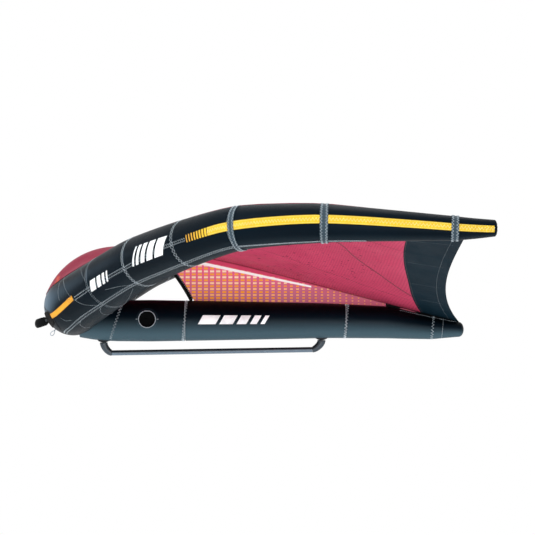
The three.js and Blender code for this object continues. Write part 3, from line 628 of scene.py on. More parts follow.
def cloth_finish(
    name, colour, weave=0.7, grid=6.0, roughness=(0.42, 0.56), sheen=0.15, specular=0.5, painted_light_and_shade=()
):
    """Coated sailcloth: a fine weave, a ripstop grid, slow changes of tone and scuffs, and painted light and
    shade by the way the surface faces, if given.
    """
    f = Finish(name, 0.5, Sheen_Weight=sheen, Sheen_Roughness=0.4, Specular_IOR_Level=specular)
    tone = f.ramp(f.noise(2.6, 4.0), 0.3, 0.7)
    plain = f.mix(tone, dimmed(colour, 0.86), dimmed(colour, 1.14))
    # Painted light and shade: each entry blends in a paler or darker colour where the surface faces a given
    # way.
    for axis, low, high, other, share in painted_light_and_shade:
        amount = f.math("MULTIPLY", f.ramp(f.facing()[axis], low, high), share)
        plain = f.mix(amount, plain, other)
    lines = f.grid(grid, 0.5)
    lined = f.mix(f.math("MULTIPLY", lines, 0.25), plain, dimmed(colour, 1.5))
    scuffs = f.math("MULTIPLY", f.ramp(f.noise(38.0, 6.0, 0.7), 0.62, 0.78), 0.12)
    f.colour(f.mix(scuffs, lined, dimmed(colour, 2.4)))
    f.rough(*roughness)
    height = f.math("ADD", f.math("MULTIPLY", f.weave(weave), 0.35), f.math("MULTIPLY", lines, 0.5))
    creases = f.math("MULTIPLY", f.noise(26.0, 5.0, 0.6), 3.0)
    f.bump(f.math("ADD", height, creases), 0.22, 0.7)
    return f.material


def moulded_finish(name, colour, roughness=(0.38, 0.52), grain=900.0, depth=0.08, under=None, **sockets):
    """Moulded plastic or rubber: a fine grain with paler worn places, and a paler underside as painted light
    from below if given.
    """
    f = Finish(name, 0.45, **sockets)
    wear = f.math("MULTIPLY", f.ramp(f.noise(55.0, 6.0, 0.7), 0.58, 0.8), 0.3)
    tone = f.ramp(f.noise(14.0, 3.0), 0.3, 0.7)
    plain = f.mix(tone, dimmed(colour, 0.85), dimmed(colour, 1.2))
    # Painted light: surfaces facing down blend to the given paler colour.
    if under:
        plain = f.mix(f.ramp(f.facing()[2], 0.45, -0.35), plain, under)
    f.colour(f.mix(wear, plain, dimmed(colour, 2.2)))
    f.rough(*roughness, scale=30.0)
    f.bump(f.noise(grain, 2.0), depth)
    return f.material


def strap_finish(name, colour, rib=1.6, stripe=None, ahead=None):
    """Woven strap: ribs across it and threads along it, and another colour ahead of a place if given."""
    f = Finish(name, 0.7, Sheen_Weight=0.1, Sheen_Roughness=0.5, Specular_IOR_Level=0.3)
    u, v = f.cloth()
    ribs = f.wave(u, rib)
    threads = f.wave(v, rib * 0.8)
    tone = f.ramp(f.noise(30.0, 4.0), 0.3, 0.7)
    plain = f.mix(tone, dimmed(colour, 0.92), dimmed(colour, 1.06))
    if ahead:
        place, other = ahead
        plain = f.mix(f.ramp(f.axes()[0], place + 0.04, place - 0.1), plain, other)
    shade = f.math("MULTIPLY_ADD", f.math("MULTIPLY", ribs, threads), 0.12, 0.12)
    f.colour(f.mix(shade, plain, stripe or dimmed(colour, 0.45)))
    f.rough(0.6, 0.8)
    f.bump(f.math("MULTIPLY", ribs, f.math("MULTIPLY_ADD", threads, 0.4, 0.6)), 0.3, 0.9)
    return f.material


def thread_finish(name, colour):
    f = Finish(name, 0.6, Sheen_Weight=0.3)
    u, v = f.cloth()
    twist = f.wave(f.math("ADD", u, f.math("MULTIPLY", v, 0.8)), 1.1)
    tone = f.ramp(f.noise(60.0, 3.0), 0.3, 0.7)
    f.colour(f.mix(tone, dimmed(colour, 0.8), dimmed(colour, 1.1)))
    f.rough(0.5, 0.7)
    f.bump(twist, 0.15)
    return f.material


def canopy_finish():
    """Crimson ripstop with rows of fine dots; its lower face is painted paler than its upper one, as painted
    light shining through the cloth.
    """
    f = Finish("canopy_cloth", 0.5, Sheen_Weight=0.0, Specular_IOR_Level=0.07)
    u, v = f.cloth()
    x, _, z = f.axes()
    under, over, deep = rgb(212, 76, 110), rgb(140, 26, 56), rgb(116, 20, 48)
    tone = f.ramp(f.noise(2.2, 4.0), 0.3, 0.7)
    # Painted light: faces turned down get the paler crimson, for light shining through the cloth.
    ground = f.mix(f.ramp(f.facing()[2], -0.12, 0.12), under, over)
    plain = f.mix(f.math("MULTIPLY", tone, 0.25), ground, deep)
    # Dots in staggered rows, and dark flecks strung along the chord nearer the strut.
    dots = f.ramp(f.math("MULTIPLY", f.wave(u, 19.0), f.wave(v, 15.0)), 0.25, 0.75)
    dotted = f.mix(f.math("MULTIPLY", dots, 0.42), plain, deep)
    inputs = {0: f.place(), 1: (60.0, 60.0, 190.0)}
    stretched = f.node("ShaderNodeVectorMath", inputs, operation="MULTIPLY")
    inputs = {"Vector": stretched.outputs[0], "Scale": 1.0, "Detail": 1.0}
    flecks = f.ramp(f.node("ShaderNodeTexNoise", inputs).outputs["Fac"], 0.66, 0.72)
    zone = f.math("MULTIPLY", f.ramp(x, 0.05, 0.2), f.ramp(x, 0.9, 0.7))
    flecked = f.mix(f.math("MULTIPLY", flecks, f.math("MULTIPLY", zone, 0.75)), dotted, rgb(70, 12, 34))
    # A worn orange smear close behind the nose.
    away = f.math("ABSOLUTE", f.math("SUBTRACT", x, -0.735))
    from_nose = f.math("ADD", f.ramp(away, 0.0, 0.05), f.noise(34.0, 4.0))
    smear = f.math("MULTIPLY", f.ramp(from_nose, 0.75, 0.45), f.ramp(z, 0.37, 0.35))
    worn = f.mix(f.math("MULTIPLY", smear, 0.6), flecked, rgb(226, 92, 48))
    lines = f.grid(4.5, 0.4)
    f.colour(f.mix(f.math("MULTIPLY", lines, 0.2), worn, deep))
    f.rough(0.42, 0.58)
    creases = f.math("MULTIPLY", f.noise(17.0, 5.0, 0.6), 4.0)
    height = f.math("ADD", f.math("MULTIPLY", lines, 0.4), f.math("MULTIPLY", f.weave(0.9), 0.2))
    f.bump(f.math("ADD", height, creases), 0.25, 0.7)
    return f.material


def web_finish():
    """Cloth printed with rows of dashes under one pale stripe, crimson above the stripe, with painted shade
    along its upper edge by the canopy.
    """
    f = Finish("web_cloth", 0.42, Sheen_Weight=0.05, Specular_IOR_Level=0.2)
    x, _, z = f.axes()
    _, from_head = f.cloth()
    upper, lower, faded = rgb(236, 98, 140), rgb(188, 102, 132), rgb(194, 84, 112)
    height = f.ramp(z, 0.25, 0.39)
    ground = f.mix(height, lower, upper)
    ground = f.mix(f.ramp(x, 0.3, 0.8), ground, faded)
    # Rows of dashes, by turns deep and light orange, narrower towards the tail.
    row = f.math("DIVIDE", z, 0.0142)
    column = f.math("DIVIDE", x, 0.0293)
    inputs = {"Value": x, "From Min": 0.1, "From Max": 0.92, "To Min": 0.33, "To Max": 0.05}
    width = f.node("ShaderNodeMapRange", inputs).outputs[0]
    in_column = f.math("LESS_THAN", f.math("PINGPONG", column, 0.5), width)
    tall = f.math("MINIMUM", f.math("MULTIPLY", width, 1.1), 0.34)
    in_row = f.math("LESS_THAN", f.math("PINGPONG", row, 0.5), tall)
    dash = f.math("MULTIPLY", in_column, in_row)
    every = f.math("PINGPONG", f.math("ROUND", row), 1.0)
    rising = f.ramp(z, 0.25, 0.38)
    deep = f.mix(rising, rgb(246, 156, 20), rgb(248, 168, 58))
    light = f.mix(rising, rgb(248, 176, 90), rgb(255, 230, 196))
    printed = f.mix(dash, ground, f.mix(every, deep, light))
    # The stripe falls from the front of the web towards the tail and stops short.
    over = f.math("SUBTRACT", z, f.math("MULTIPLY_ADD", x, -0.2125, 0.4110))
    inputs = {"Value": x, "From Min": -0.05, "From Max": 0.475, "To Min": 0.0062, "To Max": 0.0032}
    half = f.node("ShaderNodeMapRange", inputs).outputs[0]
    edge = f.math("SUBTRACT", f.math("ABSOLUTE", over), half)
    stripe = f.math("MULTIPLY", f.ramp(edge, 0.0022, 0.0), f.math("LESS_THAN", x, 0.476))
    crimson, shade = rgb(206, 54, 96), rgb(120, 16, 44)
    above = f.mix(f.ramp(over, 0.003, 0.012), printed, crimson)
    striped = f.mix(stripe, above, rgb(255, 255, 255))
    # Painted shade: the last 14 mm below the canopy darken to deep crimson.
    f.colour(f.mix(f.ramp(from_head, 14.0, 2.0), striped, shade))
    f.rough(0.36, 0.5)
    height = f.math("MULTIPLY_ADD", f.weave(1.0), 0.3, f.math("MULTIPLY", f.noise(20.0, 4.0), 3.0))
    f.bump(height, 0.18)
    return f.material


def steel_finish():
    f = Finish("pin_steel", 0.3, Metallic=1.0)
    streaks = f.noise(400.0, 2.0)
    f.colour(f.mix(streaks, rgb(70, 76, 82), rgb(96, 102, 108)))
    f.rough(0.24, 0.42, scale=120.0)
    f.bump(streaks, 0.03)
    return f.material


# The second colour here is painted light from below on the dark cloth; NAVY is the cloth's own colour.
NAVY, PAINTED_BOUNCE_SLATE = rgb(3, 15, 24), rgb(80, 106, 118)
# Each painted light or shade is (axis, facing where it starts, facing where it is full, colour, share of it).
# Leading edge: painted light from below on its downward faces, and a painted highlight on the nose's forward
# face.
EDGE_PAINTED_LIGHT = [(2, -0.5, -0.9, PAINTED_BOUNCE_SLATE, 0.07), (0, -0.78, -1.0, rgb(118, 146, 168), 0.6)]
# Strut: painted shade on its top under the canopy, and painted light from below on its lower half.
STRUT_PAINTED_SHADE_AND_LIGHT = [(2, 0.15, 0.75, rgb(2, 4, 6), 0.9), (2, 0.26, -0.8, PAINTED_BOUNCE_SLATE, 0.78)]
DARK = {"roughness": (0.34, 0.44), "specular": 0.045, "sheen": 0.0}
SOFT = {"roughness": (0.7, 0.85), "specular": 0.1, "sheen": 0.02}
RIPSTOP = {"weave": 1.0, "grid": 5.0}
FINISHES = {
    "casing": cloth_finish("casing_cloth", NAVY, painted_light_and_shade=EDGE_PAINTED_LIGHT, **DARK),
    "strut": cloth_finish("strut_cloth", NAVY, painted_light_and_shade=STRUT_PAINTED_SHADE_AND_LIGHT, **DARK),
    "band": cloth_finish(
        "band_cloth", rgb(50, 66, 76), weave=1.2, grid=5.0, roughness=(0.6, 0.75), specular=0.2
    ),
    # The valve skirt keeps only the painted light from below.
    "patch": cloth_finish("patch_cloth", rgb(22, 34, 42), painted_light_and_shade=STRUT_PAINTED_SHADE_AND_LIGHT[1:], **RIPSTOP, **DARK),
    "slate": cloth_finish(
        "trailing_cloth", rgb(14, 35, 46), roughness=(0.5, 0.64), grid=4.5, specular=0.06, sheen=0.0
    ),
    "binding": cloth_finish("binding_cloth", rgb(3, 4, 5), **RIPSTOP, **SOFT),
    "canopy": canopy_finish(),
    "web": web_finish(),
    "tape": strap_finish(
        "tape_cloth", rgb(228, 190, 40), rib=2.2, stripe=rgb(206, 160, 30), ahead=(-0.02, rgb(216, 158, 50))
    ),
    "webbing": strap_finish("webbing_cloth", rgb(252, 178, 30), rib=2.4, stripe=rgb(214, 128, 16)),
    "thread": thread_finish("thread", rgb(190, 204, 212)),
    "pale_thread": thread_finish("pale_thread", rgb(255, 248, 190)),
    "dark_thread": thread_finish("dark_thread", rgb(58, 20, 34)),
    "grey_thread": thread_finish("grey_thread", rgb(120, 134, 142)),
    "brown_thread": thread_finish("brown_thread", rgb(150, 92, 40)),
    "print": moulded_finish("print", rgb(242, 246, 248), roughness=(0.4, 0.5), grain=300.0),
    "piping": moulded_finish("piping", rgb(12, 14, 16), roughness=(0.5, 0.65)),
    # The boom tube and its mouldings get a paler underside as painted light from below.
    "boom": moulded_finish(
        "boom_tube", rgb(14, 20, 26), roughness=(0.34, 0.46), grain=500.0, under=rgb(104, 124, 140)
    ),
    "moulding": moulded_finish(
        "boom_moulding", rgb(16, 24, 30), roughness=(0.4, 0.54), under=rgb(52, 66, 76)
    ),
    "valve": moulded_finish("valve_moulding", rgb(1, 2, 3), roughness=(0.5, 0.65), Specular_IOR_Level=0.03),
    "rim": moulded_finish("valve_rim", rgb(150, 160, 168), roughness=(0.35, 0.5)),
    "rubber": moulded_finish("pad_rubber", rgb(20, 28, 34), roughness=(0.6, 0.75), grain=700.0),
    "neoprene": cloth_finish(
        "handle_cover", rgb(5, 7, 9), weave=1.1, grid=60.0, roughness=(0.7, 0.85), sheen=0.03, specular=0.12
    ),
    "film": moulded_finish("bladder_film", rgb(196, 206, 212), roughness=(0.2, 0.3), grain=60.0),
    "line": strap_finish("loop_line", rgb(168, 184, 198), rib=2.0),
    "steel": steel_finish(),
}
THREAD_SLOT = "band_cloth"


def finish_node(node, finish):
    """A CAD node that stays as it is gets one of the finishes."""
    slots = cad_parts[node].data.materials
    slots.clear()
    slots.append(FINISHES[finish])


# ---------------------------------------------------------------- nose loop


def curve_through(places, steps=8):
    """A smooth line through a few points."""
    places = np.asarray(places, float)
    padded = np.concatenate([[2 * places[0] - places[1]], places, [2 * places[-1] - places[-2]]])
    t = np.linspace(0, 1, steps + 1)[:-1, None]
    spans = []
    for i in range(1, len(padded) - 2):
        a, b, c, d = padded[i - 1 : i + 3]
        spans.append(b + 0.5 * t * (c - a + t * (2 * a - 5 * b + 4 * c - d + t * (3 * (b - c) + d - a))))
    return np.concatenate([*spans, places[-1:]])


LOOP_STEPS = [
    (0.9, -4, -0.3),
    (-5, -3.6, -8),
    (-14, -2.6, -12),
    (-22, -1.4, -19),
    (-23, 0, -28),
    (-15, 1.4, -32),
    (-7, 2.6, -26),
    (-3, 3.6, -12),
    (0.9, 4, -0.3),
]


def make_loop():
    radius, angle = edge_radius(0.0), math.radians(-51.4)
    forward, _ = edge_axes(0.0)
    seat = edge_centre(0.0) + radius * np.array([forward[0] * math.cos(angle), 0, math.sin(angle)])
    path = curve_through([seat + step for step in LOOP_STEPS])
    away = path - path.mean(0)
    loop = tube(Bag(), path, away, LOOP_RADIUS, sides=10)
    piece = loop.piece("line_loop", FINISHES["line"], replaces=["nose_loop"], slot="loop_line")


make_loop()

# ---------------------------------------------------------------- leading edge covers

COVER_SIDES = 96
COVER_ANGLES = np.arange(COVER_SIDES) * 360 / COVER_SIDES
EDGE_CLOTH = 1.1  # the cloth's thickness, inwards from the tube's skin
SEAM_STEPS = [0, 3, 6, 10, 14, 19, 25, 33, 44, 60]


def cover_places(start, end):
    """Places along the tube, close together by the seams at both ends."""
    near = [start + d / EDGE_HALF for d in SEAM_STEPS] + [end - d / EDGE_HALF for d in SEAM_STEPS]
    middle = np.linspace(near[9], end - SEAM_STEPS[-1] / EDGE_HALF, 12)
    places = sorted(set(np.round([*near, *middle], 7)))
    return np.array([p for p in places if start <= p <= end])


def make_edge_cover(name, places, node):
    grid, away = edge_surface(places[:, None], COVER_ANGLES[None, :], -EDGE_CLOTH)
    bag = shell(Bag(), grid, away, EDGE_CLOTH, wrap=True)
    bag.piece(name, FINISHES["casing"], replaces=[node], slot="casing_cloth")


def make_tip_cap(name, side):
    """The cloth that closes the tube's tip, gathered a little at its middle."""
    rim, _ = edge_surface(side * 1.0, COVER_ANGLES)
    centre = edge_centre(side * 1.0)
    outward = unit(edge_centre(side * 1.0) - edge_centre(side * 0.995))
    rows = []
    for share in np.linspace(0, 1, 11):
        turn = share * math.pi / 2
        puckers = 0.5 * np.sin(np.radians(COVER_ANGLES) * 11) * math.sin(2 * turn)
        reach = 9 * math.sin(turn) ** 1.4 - 3 * share**4 + puckers
        spread = max(0.02, math.cos(turn) ** 0.55)
        rows.append(centre + (rim - centre) * spread + outward * reach[:, None])
    bag = shell(Bag(), np.array(rows), -outward, 0.8, wrap=True)
    bag.piece(name, FINISHES["casing"], slot="casing_cloth")


half = cover_places(0, EDGE_SEAMS[0])
make_edge_cover("nose_cover", np.concatenate([-half[:0:-1], half]), "nose_casing")
for hand, side in SIDES:
    for i, (start, end) in enumerate(zip(EDGE_SEAMS, EDGE_SEAMS[1:]), 1):
        places = side * cover_places(start, end)
        make_edge_cover(f"edge_cover_{hand}_{i}", np.sort(places), f"edge_casing_{hand}_{i}")
    make_tip_cap(f"edge_tip_{hand}", side)


# ---------------------------------------------------------------- bands and tape on the leading edge

BAND_LIFT, BAND_THICKNESS = 1.9, 1.1
BAND_LEANS = [20, 16, 0]  # how far the front of each band is set towards the tip


def make_band(hand, side, index, place):
    """A band with pinked edges, open where the canopy is sewn on."""
    cloth = cloth_angle(place / CANOPY_END)
    steps = 2 * int(edge_radius(place) * 2 * math.pi / 9)
    angles = np.linspace(cloth + 16, cloth + 356, steps + 1)
    pinked = np.where(np.arange(steps + 1) % 2 == 0, 2.2, -1.4)
    offsets = np.array([-15, -9, 0, 9, 15])[:, None] + np.array([-1, 0, 0, 0, 1])[:, None] * pinked
    lean = BAND_LEANS[index - 1] * np.cos(np.radians(angles))
    s = side * (place + (offsets + lean) / EDGE_HALF)
    grid, away = edge_surface(s, angles[None, :], BAND_LIFT)
    bag = shell(Bag(), grid, away, BAND_THICKNESS)
    name = f"edge_band_cover_{hand}_{index}"
    bag.piece(name, FINISHES["band"], replaces=[f"edge_band_{hand}_{index}"], slot="band_cloth")
    threads = Bag()
    for offset in (-10, 10):
        s = side * (place + (offset + lean[1:-1]) / EDGE_HALF)
        line = edge_surface(s, angles[1:-1], BAND_LIFT + BAND_THICKNESS)
        zigzag(threads, line, width=9, pitch=15, radius=1.1)
    threads.piece(f"edge_band_stitches_{hand}_{index}", FINISHES["thread"], slot=THREAD_SLOT)


TAPE_LINE = [
    (0.468, -2.5),
    (0.5175, -0.5),
    (0.561, 4.5),
    (0.656, 10),
    (0.734, 13.5),
    (0.845, 11),
    (0.941, 6.5),
    (0.996, -6),
]
TAPE_START, TAPE_END = TAPE_LINE[0][0], TAPE_LINE[-1][0]
TAPE_TICKS = 8
TAPE_SOLID = 0.5175  # where the ticks have closed up


def make_tape(hand, side):
    """The tape starts as a row of ticks, which close up into the solid strip."""
    line = read(TAPE_LINE, 400)

    def strip(places):
        angles = np.interp(places, line[:, 0], line[:, 1])
        past = places - TAPE_START
        width = 40 - 12 * (past / 0.53) ** 2 - 6 * np.exp(-((past / 0.06) ** 2))
        return angles, np.degrees(width / edge_radius(places))

    bag, threads = Bag(), Bag()
    pitch = (TAPE_SOLID - TAPE_START) / TAPE_TICKS
    pieces = [np.linspace(TAPE_SOLID, TAPE_END, 120)]
    for k in range(TAPE_TICKS):
        start = TAPE_START + k * pitch
        pieces.append(np.linspace(start, start + pitch * (0.32 + 0.06 * k), 3))
    for places in pieces:
        angles, spread = strip(places)
        fan = spread[:, None] * np.linspace(-0.5, 0.5, 9)
        grid, away = edge_surface(side * places[:, None], angles[:, None] + fan, 0.35)
        shell(bag, grid, away, 0.7)
    bag.piece(f"tape_{hand}", FINISHES["tape"], replaces=[f"edge_tape_{hand}"], slot="tape_cloth")
    places = pieces[0]
    angles, spread = strip(places)
    zigzag(threads, edge_surface(side * places, angles, 1.1), width=13, pitch=15, radius=1.2)
    for share in (-0.4, 0.4):
        turn = spread * share
        running(threads, edge_surface(side * places, angles + turn, 1.05), stitch=5, gap=3, radius=0.5)
    threads.piece(f"tape_stitches_{hand}", FINISHES["pale_thread"], slot="tape_cloth")


for hand, side in SIDES:
    for i, place in enumerate(BAND_PLACES, 1):
        make_band(hand, side, i, place)
    make_tape(hand, side)

# ---------------------------------------------------------------- seams on the leading edge

RING_SEAMS = [(EDGE_SEAMS[0], "plain"), (EDGE_SEAMS[1], "zigzag"), (EDGE_SEAMS[2], "zigzag")]
LONG_SEAMS = [
    [
        (0.0243, -72.5),
        (0.0933, -59.5),
        (0.1755, -61),
        (0.296, -62.5),
        (0.4287, -65),
        (0.474, -60.5),
        (0.5586, -58),
    ],
    [(0.130, -18.5), (0.185, -16.5), (0.246, -19), (0.297, -18.5), (0.420, -4), (0.465, -3.5)],
]
PATCH_SEAMS = [
    [(0.080, 53.5), (0.104, 20), (0.113, 2.5), (0.120, -8.5), (0.129, -21.5), (0.139, -38), (0.167, -58)],
    [(0.1763, -61.5), (0.1509, -72.5), (0.138, -96), (0.134, -120)],
    [(0.0941, -66.5), (0.0826, -71), (0.0719, -87), (0.0678, -106)],
    [(0.0645, -37), (0.0687, -47.5), (0.0826, -53)],
    [(0.0785, 36), (0.085, -6.5)],
    [(0.151, 41.5), (0.176, 1)],
    [(0.215, -38), (0.252, -48.5), (0.2816, -65)],
    [(0.266, -72.5), (0.189, -109.5)],
]
LOWER_SEAM = [(0.5586, -58), (0.6, -63), (0.66, -66), (0.73, -68), (0.79, -72)]
PIPING = [(0.0193, -2.5), (0.0489, -17.5), (0.0465, -36), (0.0415, -52.5), (0.0317, -62)]


def make_edge_seams(hand, side):
    bag = Bag()
    degrees = np.linspace(-175, 175, 180)
    for place, style in RING_SEAMS:
        for offset in (-5, 5):
            line = edge_surface(side * (place + offset / EDGE_HALF), degrees, 0.2)
            if style == "zigzag":
                zigzag(bag, line, width=math.copysign(10, offset), pitch=18, radius=1.0)
            else:
                running(bag, line, stitch=6, gap=4, radius=0.7)
    for table in LONG_SEAMS:
        for turn in (-2.8, 2.8):
            shifted = [(s, angle + turn) for s, angle in table]
            zigzag(bag, edge_seam(side, shifted), width=math.copysign(6.5, turn), pitch=14, radius=0.75)
    for width in (-10, 10):
        zigzag(bag, edge_seam(side, LOWER_SEAM), width=width, pitch=17, radius=0.9)
    for table in PATCH_SEAMS:
        running(bag, edge_seam(side, table), stitch=6, gap=4, radius=0.65)
    bag.piece(f"edge_stitches_{hand}", FINISHES["thread"], slot=THREAD_SLOT)
    piping = Bag()
    points, away = edge_seam(side, PIPING, 0.6)
    tube(piping, points, away, 2.2, sides=8, flat=0.7)
    piping.piece(f"nose_piping_{hand}", FINISHES["piping"], slot="binding_cloth")


for hand, side in SIDES:
    make_edge_seams(hand, side)


# ---------------------------------------------------------------- plain printed bars


def slanted_bars(bag, surface, start, widths, gap, low, high, slant, scale):
    """Bars on a surface: each runs from the low to the high angle and leans by the slant."""
    for width in widths:
        along = np.linspace(0, width, 6)[:, None]
        up = np.linspace(0, 1, 12)[None, :]
        place = (start + along + slant * up) * scale
        points, away = surface(place, low + (high - low) * up, 0.25)
        shell(bag, points, away, 0.2)
        start += width + gap
    return bag


EDGE_BARS = [
    (0.1800 * EDGE_HALF, [44, 30, 20, 12], 14, -26.0, -4.0, 22),
    (0.3160 * EDGE_HALF, [12, 20, 30, 44, 60], 16, -22.0, 20.0, 46),
]
STRUT_BARS = (-66, [84, 64, 46, 32, 20], 18, 163.0, 189.0, 24)


def make_bars():
    for hand, side in SIDES:
        bag = Bag()
        for start, widths, gap, low, high, slant in EDGE_BARS:
            slanted_bars(bag, edge_surface, start, widths, gap, low, high, slant, side / EDGE_HALF)
        bag.piece(f"edge_bars_{hand}", FINISHES["print"], slot="band_cloth")
        start, widths, gap, low, high, slant = STRUT_BARS
        if side > 0:
            low, high = 180 - low, 180 - high
        bag = slanted_bars(Bag(), strut_surface, start, widths, gap, high, low, slant, 1)
        bag.piece(f"strut_bars_{hand}", FINISHES["print"], slot="band_cloth")


make_bars()


# ---------------------------------------------------------------- canopy and trailing panels

PANEL_END, TIP_END = 0.85, 0.985
TRAILING_CLOTH = 1.3


def sheet_rows(qs, start, end, count, power=1.0):
    """The cloth's grid between two chord places, each a function of q."""
    share = np.linspace(0, 1, count)[None, :] ** power
    a, b = start(qs)[:, None], end(qs)[:, None]
    v = a + (b - a) * share
    return canopy_shape(np.broadcast_to(qs[:, None], v.shape), v)


def canopy_stations():
    half = np.concatenate([np.linspace(0, 0.12, 18)[:-1], np.linspace(0.12, PANEL_END, 84)])
    return np.concatenate([-half[:0:-1], half])


def make_sheet(name, rows, thickness, looks, nodes):
    """One stretched cloth from its rows of points."""
    grid, away = rows
    finish, slot = looks
    bag = shell(Bag(), grid, away, thickness)
    piece = bag.piece(name, FINISHES[finish], replaces=nodes, slot=slot, smooth=60)


def panel_nodes(kind):
    return [f"{kind}_panel_{hand}_{i}" for hand, _ in SIDES for i in (1, 2, 3)]


def make_canopy():
    rows = sheet_rows(canopy_stations(), np.zeros_like, dark_start, 60, power=1.35)
    make_sheet("canopy", rows, 1.2, ("canopy", "canopy_cloth"), panel_nodes("canopy"))


def make_trailing():
    looks = ("slate", "trailing_cloth")
    rows = sheet_rows(canopy_stations(), dark_start, np.ones_like, 16)
    make_sheet("trailing_panel", rows, TRAILING_CLOTH, looks, panel_nodes("trailing"))
    for hand, side in SIDES:
        places = np.sort(side * np.linspace(PANEL_END, TIP_END, 20))
        rows = sheet_rows(places, np.zeros_like, np.ones_like, 36, power=1.2)
        nodes = [f"tip_panel_{hand}"]
        make_sheet(f"tip_cloth_{hand}", rows, TRAILING_CLOTH, looks, nodes)


make_canopy()
make_trailing()


def canopy_line(places, lift=-0.6):
    """A line on the cloth's lower face; a positive lift puts it on the upper face instead."""
    places = np.asarray(places, float)
    points, normal = canopy_shape(places[:, 0], places[:, 1])
    direction = -normal if lift < 0 else normal
    return points + normal * lift, direction


# Seams on the cloth, as (share of the leading edge, share of the chord).
DIAGONAL_SEAM = [
    (0.40, 0.60),
    (0.368, 0.70),
    (0.324, 0.745),
    (0.261, 0.80),
    (0.212, 0.852),
    (0.153, 0.897),
    (0.106, 0.932),
]
ROOT_SEAM = [(0.19, 0.52), (0.175, 0.57), (0.145, 0.682), (0.113, 0.782), (0.08, 0.867), (0.074, 0.925)]
OUTER_SEAMS = [
    [(0.30, 0.02), (0.30, 0.55)],
    [(0.58, 0.02), (0.58, 0.80)],
    [(0.44, 0.45), (0.44, 0.86)],
]
TRAILING_SEAMS = [
    [(0.541, 0.86), (0.593, 0.907), (0.662, 0.982)],
    [(0.362, 0.90), (0.386, 0.94), (0.415, 0.987)],
    [(0.208, 0.93), (0.222, 0.96), (0.24, 0.99)],
    [(0.10, 0.945), (0.11, 0.97), (0.115, 0.992)],
]
HEM = 30
CLOTH_FACES = (-0.5, 1.7)  # lifts that put a seam on the cloth's lower and upper face


def make_canopy_seams(hand, side):
    dark, pale = Bag(), Bag()

    def sewn(bag, table, **stitch):
        path = read(table) * [side, 1]
        for lift in CLOTH_FACES:
            running(bag, canopy_line(path, lift), **stitch)

    for gap in (-0.0015, 0.0015):
        shifted = [(q + gap, v) for q, v in DIAGONAL_SEAM]
        sewn(dark, shifted, stitch=12, gap=1.5, radius=0.9)
    sewn(dark, ROOT_SEAM, stitch=8, gap=5, radius=0.7)
    for table in OUTER_SEAMS:
        sewn(dark, table, stitch=8, gap=4, radius=0.7)
    q = side * np.linspace(0.01, PANEL_END, 140)
    for lift in CLOTH_FACES:
        running(dark, canopy_line(np.stack([q, dark_start(q) + 0.004], -1), lift), stitch=7, gap=4)
    q = side * np.linspace(0.01, 0.97, 160)
    inset = HEM / np.maximum(chord_length(q), 60)
    for lift in CLOTH_FACES:
        running(pale, canopy_line(np.stack([q, 1 - inset], -1), lift), stitch=7, gap=3, radius=0.6)
    for table in TRAILING_SEAMS:
        sewn(pale, table, stitch=5, gap=4, radius=0.4)
    dark.piece(f"canopy_stitches_{hand}", FINISHES["dark_thread"], slot="canopy_cloth")
    pale.piece(f"trailing_stitches_{hand}", FINISHES["grey_thread"], slot="trailing_cloth")


for hand, side in SIDES:
    make_canopy_seams(hand, side)


# ---------------------------------------------------------------- strut covers


STRUT_ANGLES = np.arange(72) * 5.0
STRUT_CLOTH = 1.0


def make_strut_cover(name, start, end, node):
    near = [start + d for d in SEAM_STEPS] + [end - d for d in SEAM_STEPS]
    xs = sorted(set(np.round([*near, *np.linspace(start + 60, end - 60, 14)], 3)))
    xs = np.array([x for x in xs if start <= x <= end])
    grid, away = strut_surface(xs[:, None], STRUT_ANGLES[None, :], -STRUT_CLOTH)
    bag = shell(Bag(), grid, away, STRUT_CLOTH, wrap=True)
    bag.piece(name, FINISHES["strut"], replaces=[node], slot="casing_cloth")


def make_strut_tail():
    """The last length of the strut and its rounded end."""
    start = STRUT_SEAMS[2]
    xs = np.concatenate([[start + d for d in SEAM_STEPS[:-1]], np.linspace(start + 60, TAIL_X, 8)])
    grid, away = strut_surface(xs[:, None], STRUT_ANGLES[None, :], 0)
    turns = np.linspace(0, 0.5, 10)[1:] * math.pi
    last, axis = grid[-1], np.array([TAIL_X, 0, float(strut_axis(TAIL_X))])
    rows = [
        axis + (last - axis) * max(0.02, math.cos(t)) + [TAIL_CAP * math.sin(t) * 0.98, 0, 0]
        for t in turns
    ]
    ends = [unit(row - axis + [1e-3, 0, 0]) for row in rows]
    grid, away = np.concatenate([grid, rows]), np.concatenate([away, ends])
    bag = shell(Bag(), grid - away, away, STRUT_CLOTH, wrap=True)
    bag.piece("strut_tail_cover", FINISHES["strut"], replaces=["strut_tail_casing"], slot="casing_cloth")


cover_ends = [STRUT_FRONT_X + 6, *STRUT_SEAMS]
for part, start, end in zip(("front", "middle", "rear"), cover_ends, cover_ends[1:]):
    make_strut_cover(f"strut_cover_{part}", start, end, f"strut_casing_{part}")
make_strut_tail()


def strut_ring(x, slant, low=-170, high=350):
    """A line round the strut, leaning towards the tail with height."""
    degrees = np.linspace(low, high, 200)
    lean = slant * strut_radius(x) * np.sin(np.radians(degrees))
    return strut_surface(x + lean, degrees, 0.2)


def make_strut_seams():
    bag = Bag()
    for x in STRUT_SEAMS:
        zigzag(bag, strut_ring(x, SEAM_SLANT), width=12, pitch=16, radius=1.2)
    running(bag, strut_ring(STRUT_SEAMS[2] + 48, SEAM_SLANT))
    for low, high in ((-62, 58), (122, 242)):
        zigzag(bag, strut_ring(-456, 0.34, low=low, high=high), width=12, pitch=16, radius=1.2)
    # The seam along the top of the tail, on both sides of the canopy.
    xs = np.linspace(900, TAIL_X - 4, 80)
    for degrees in (66, 114):
        running(bag, strut_surface(xs, degrees, 0.2), stitch=7, gap=3)
    bag.piece("strut_stitches", FINISHES["thread"], slot=THREAD_SLOT)


make_strut_seams()


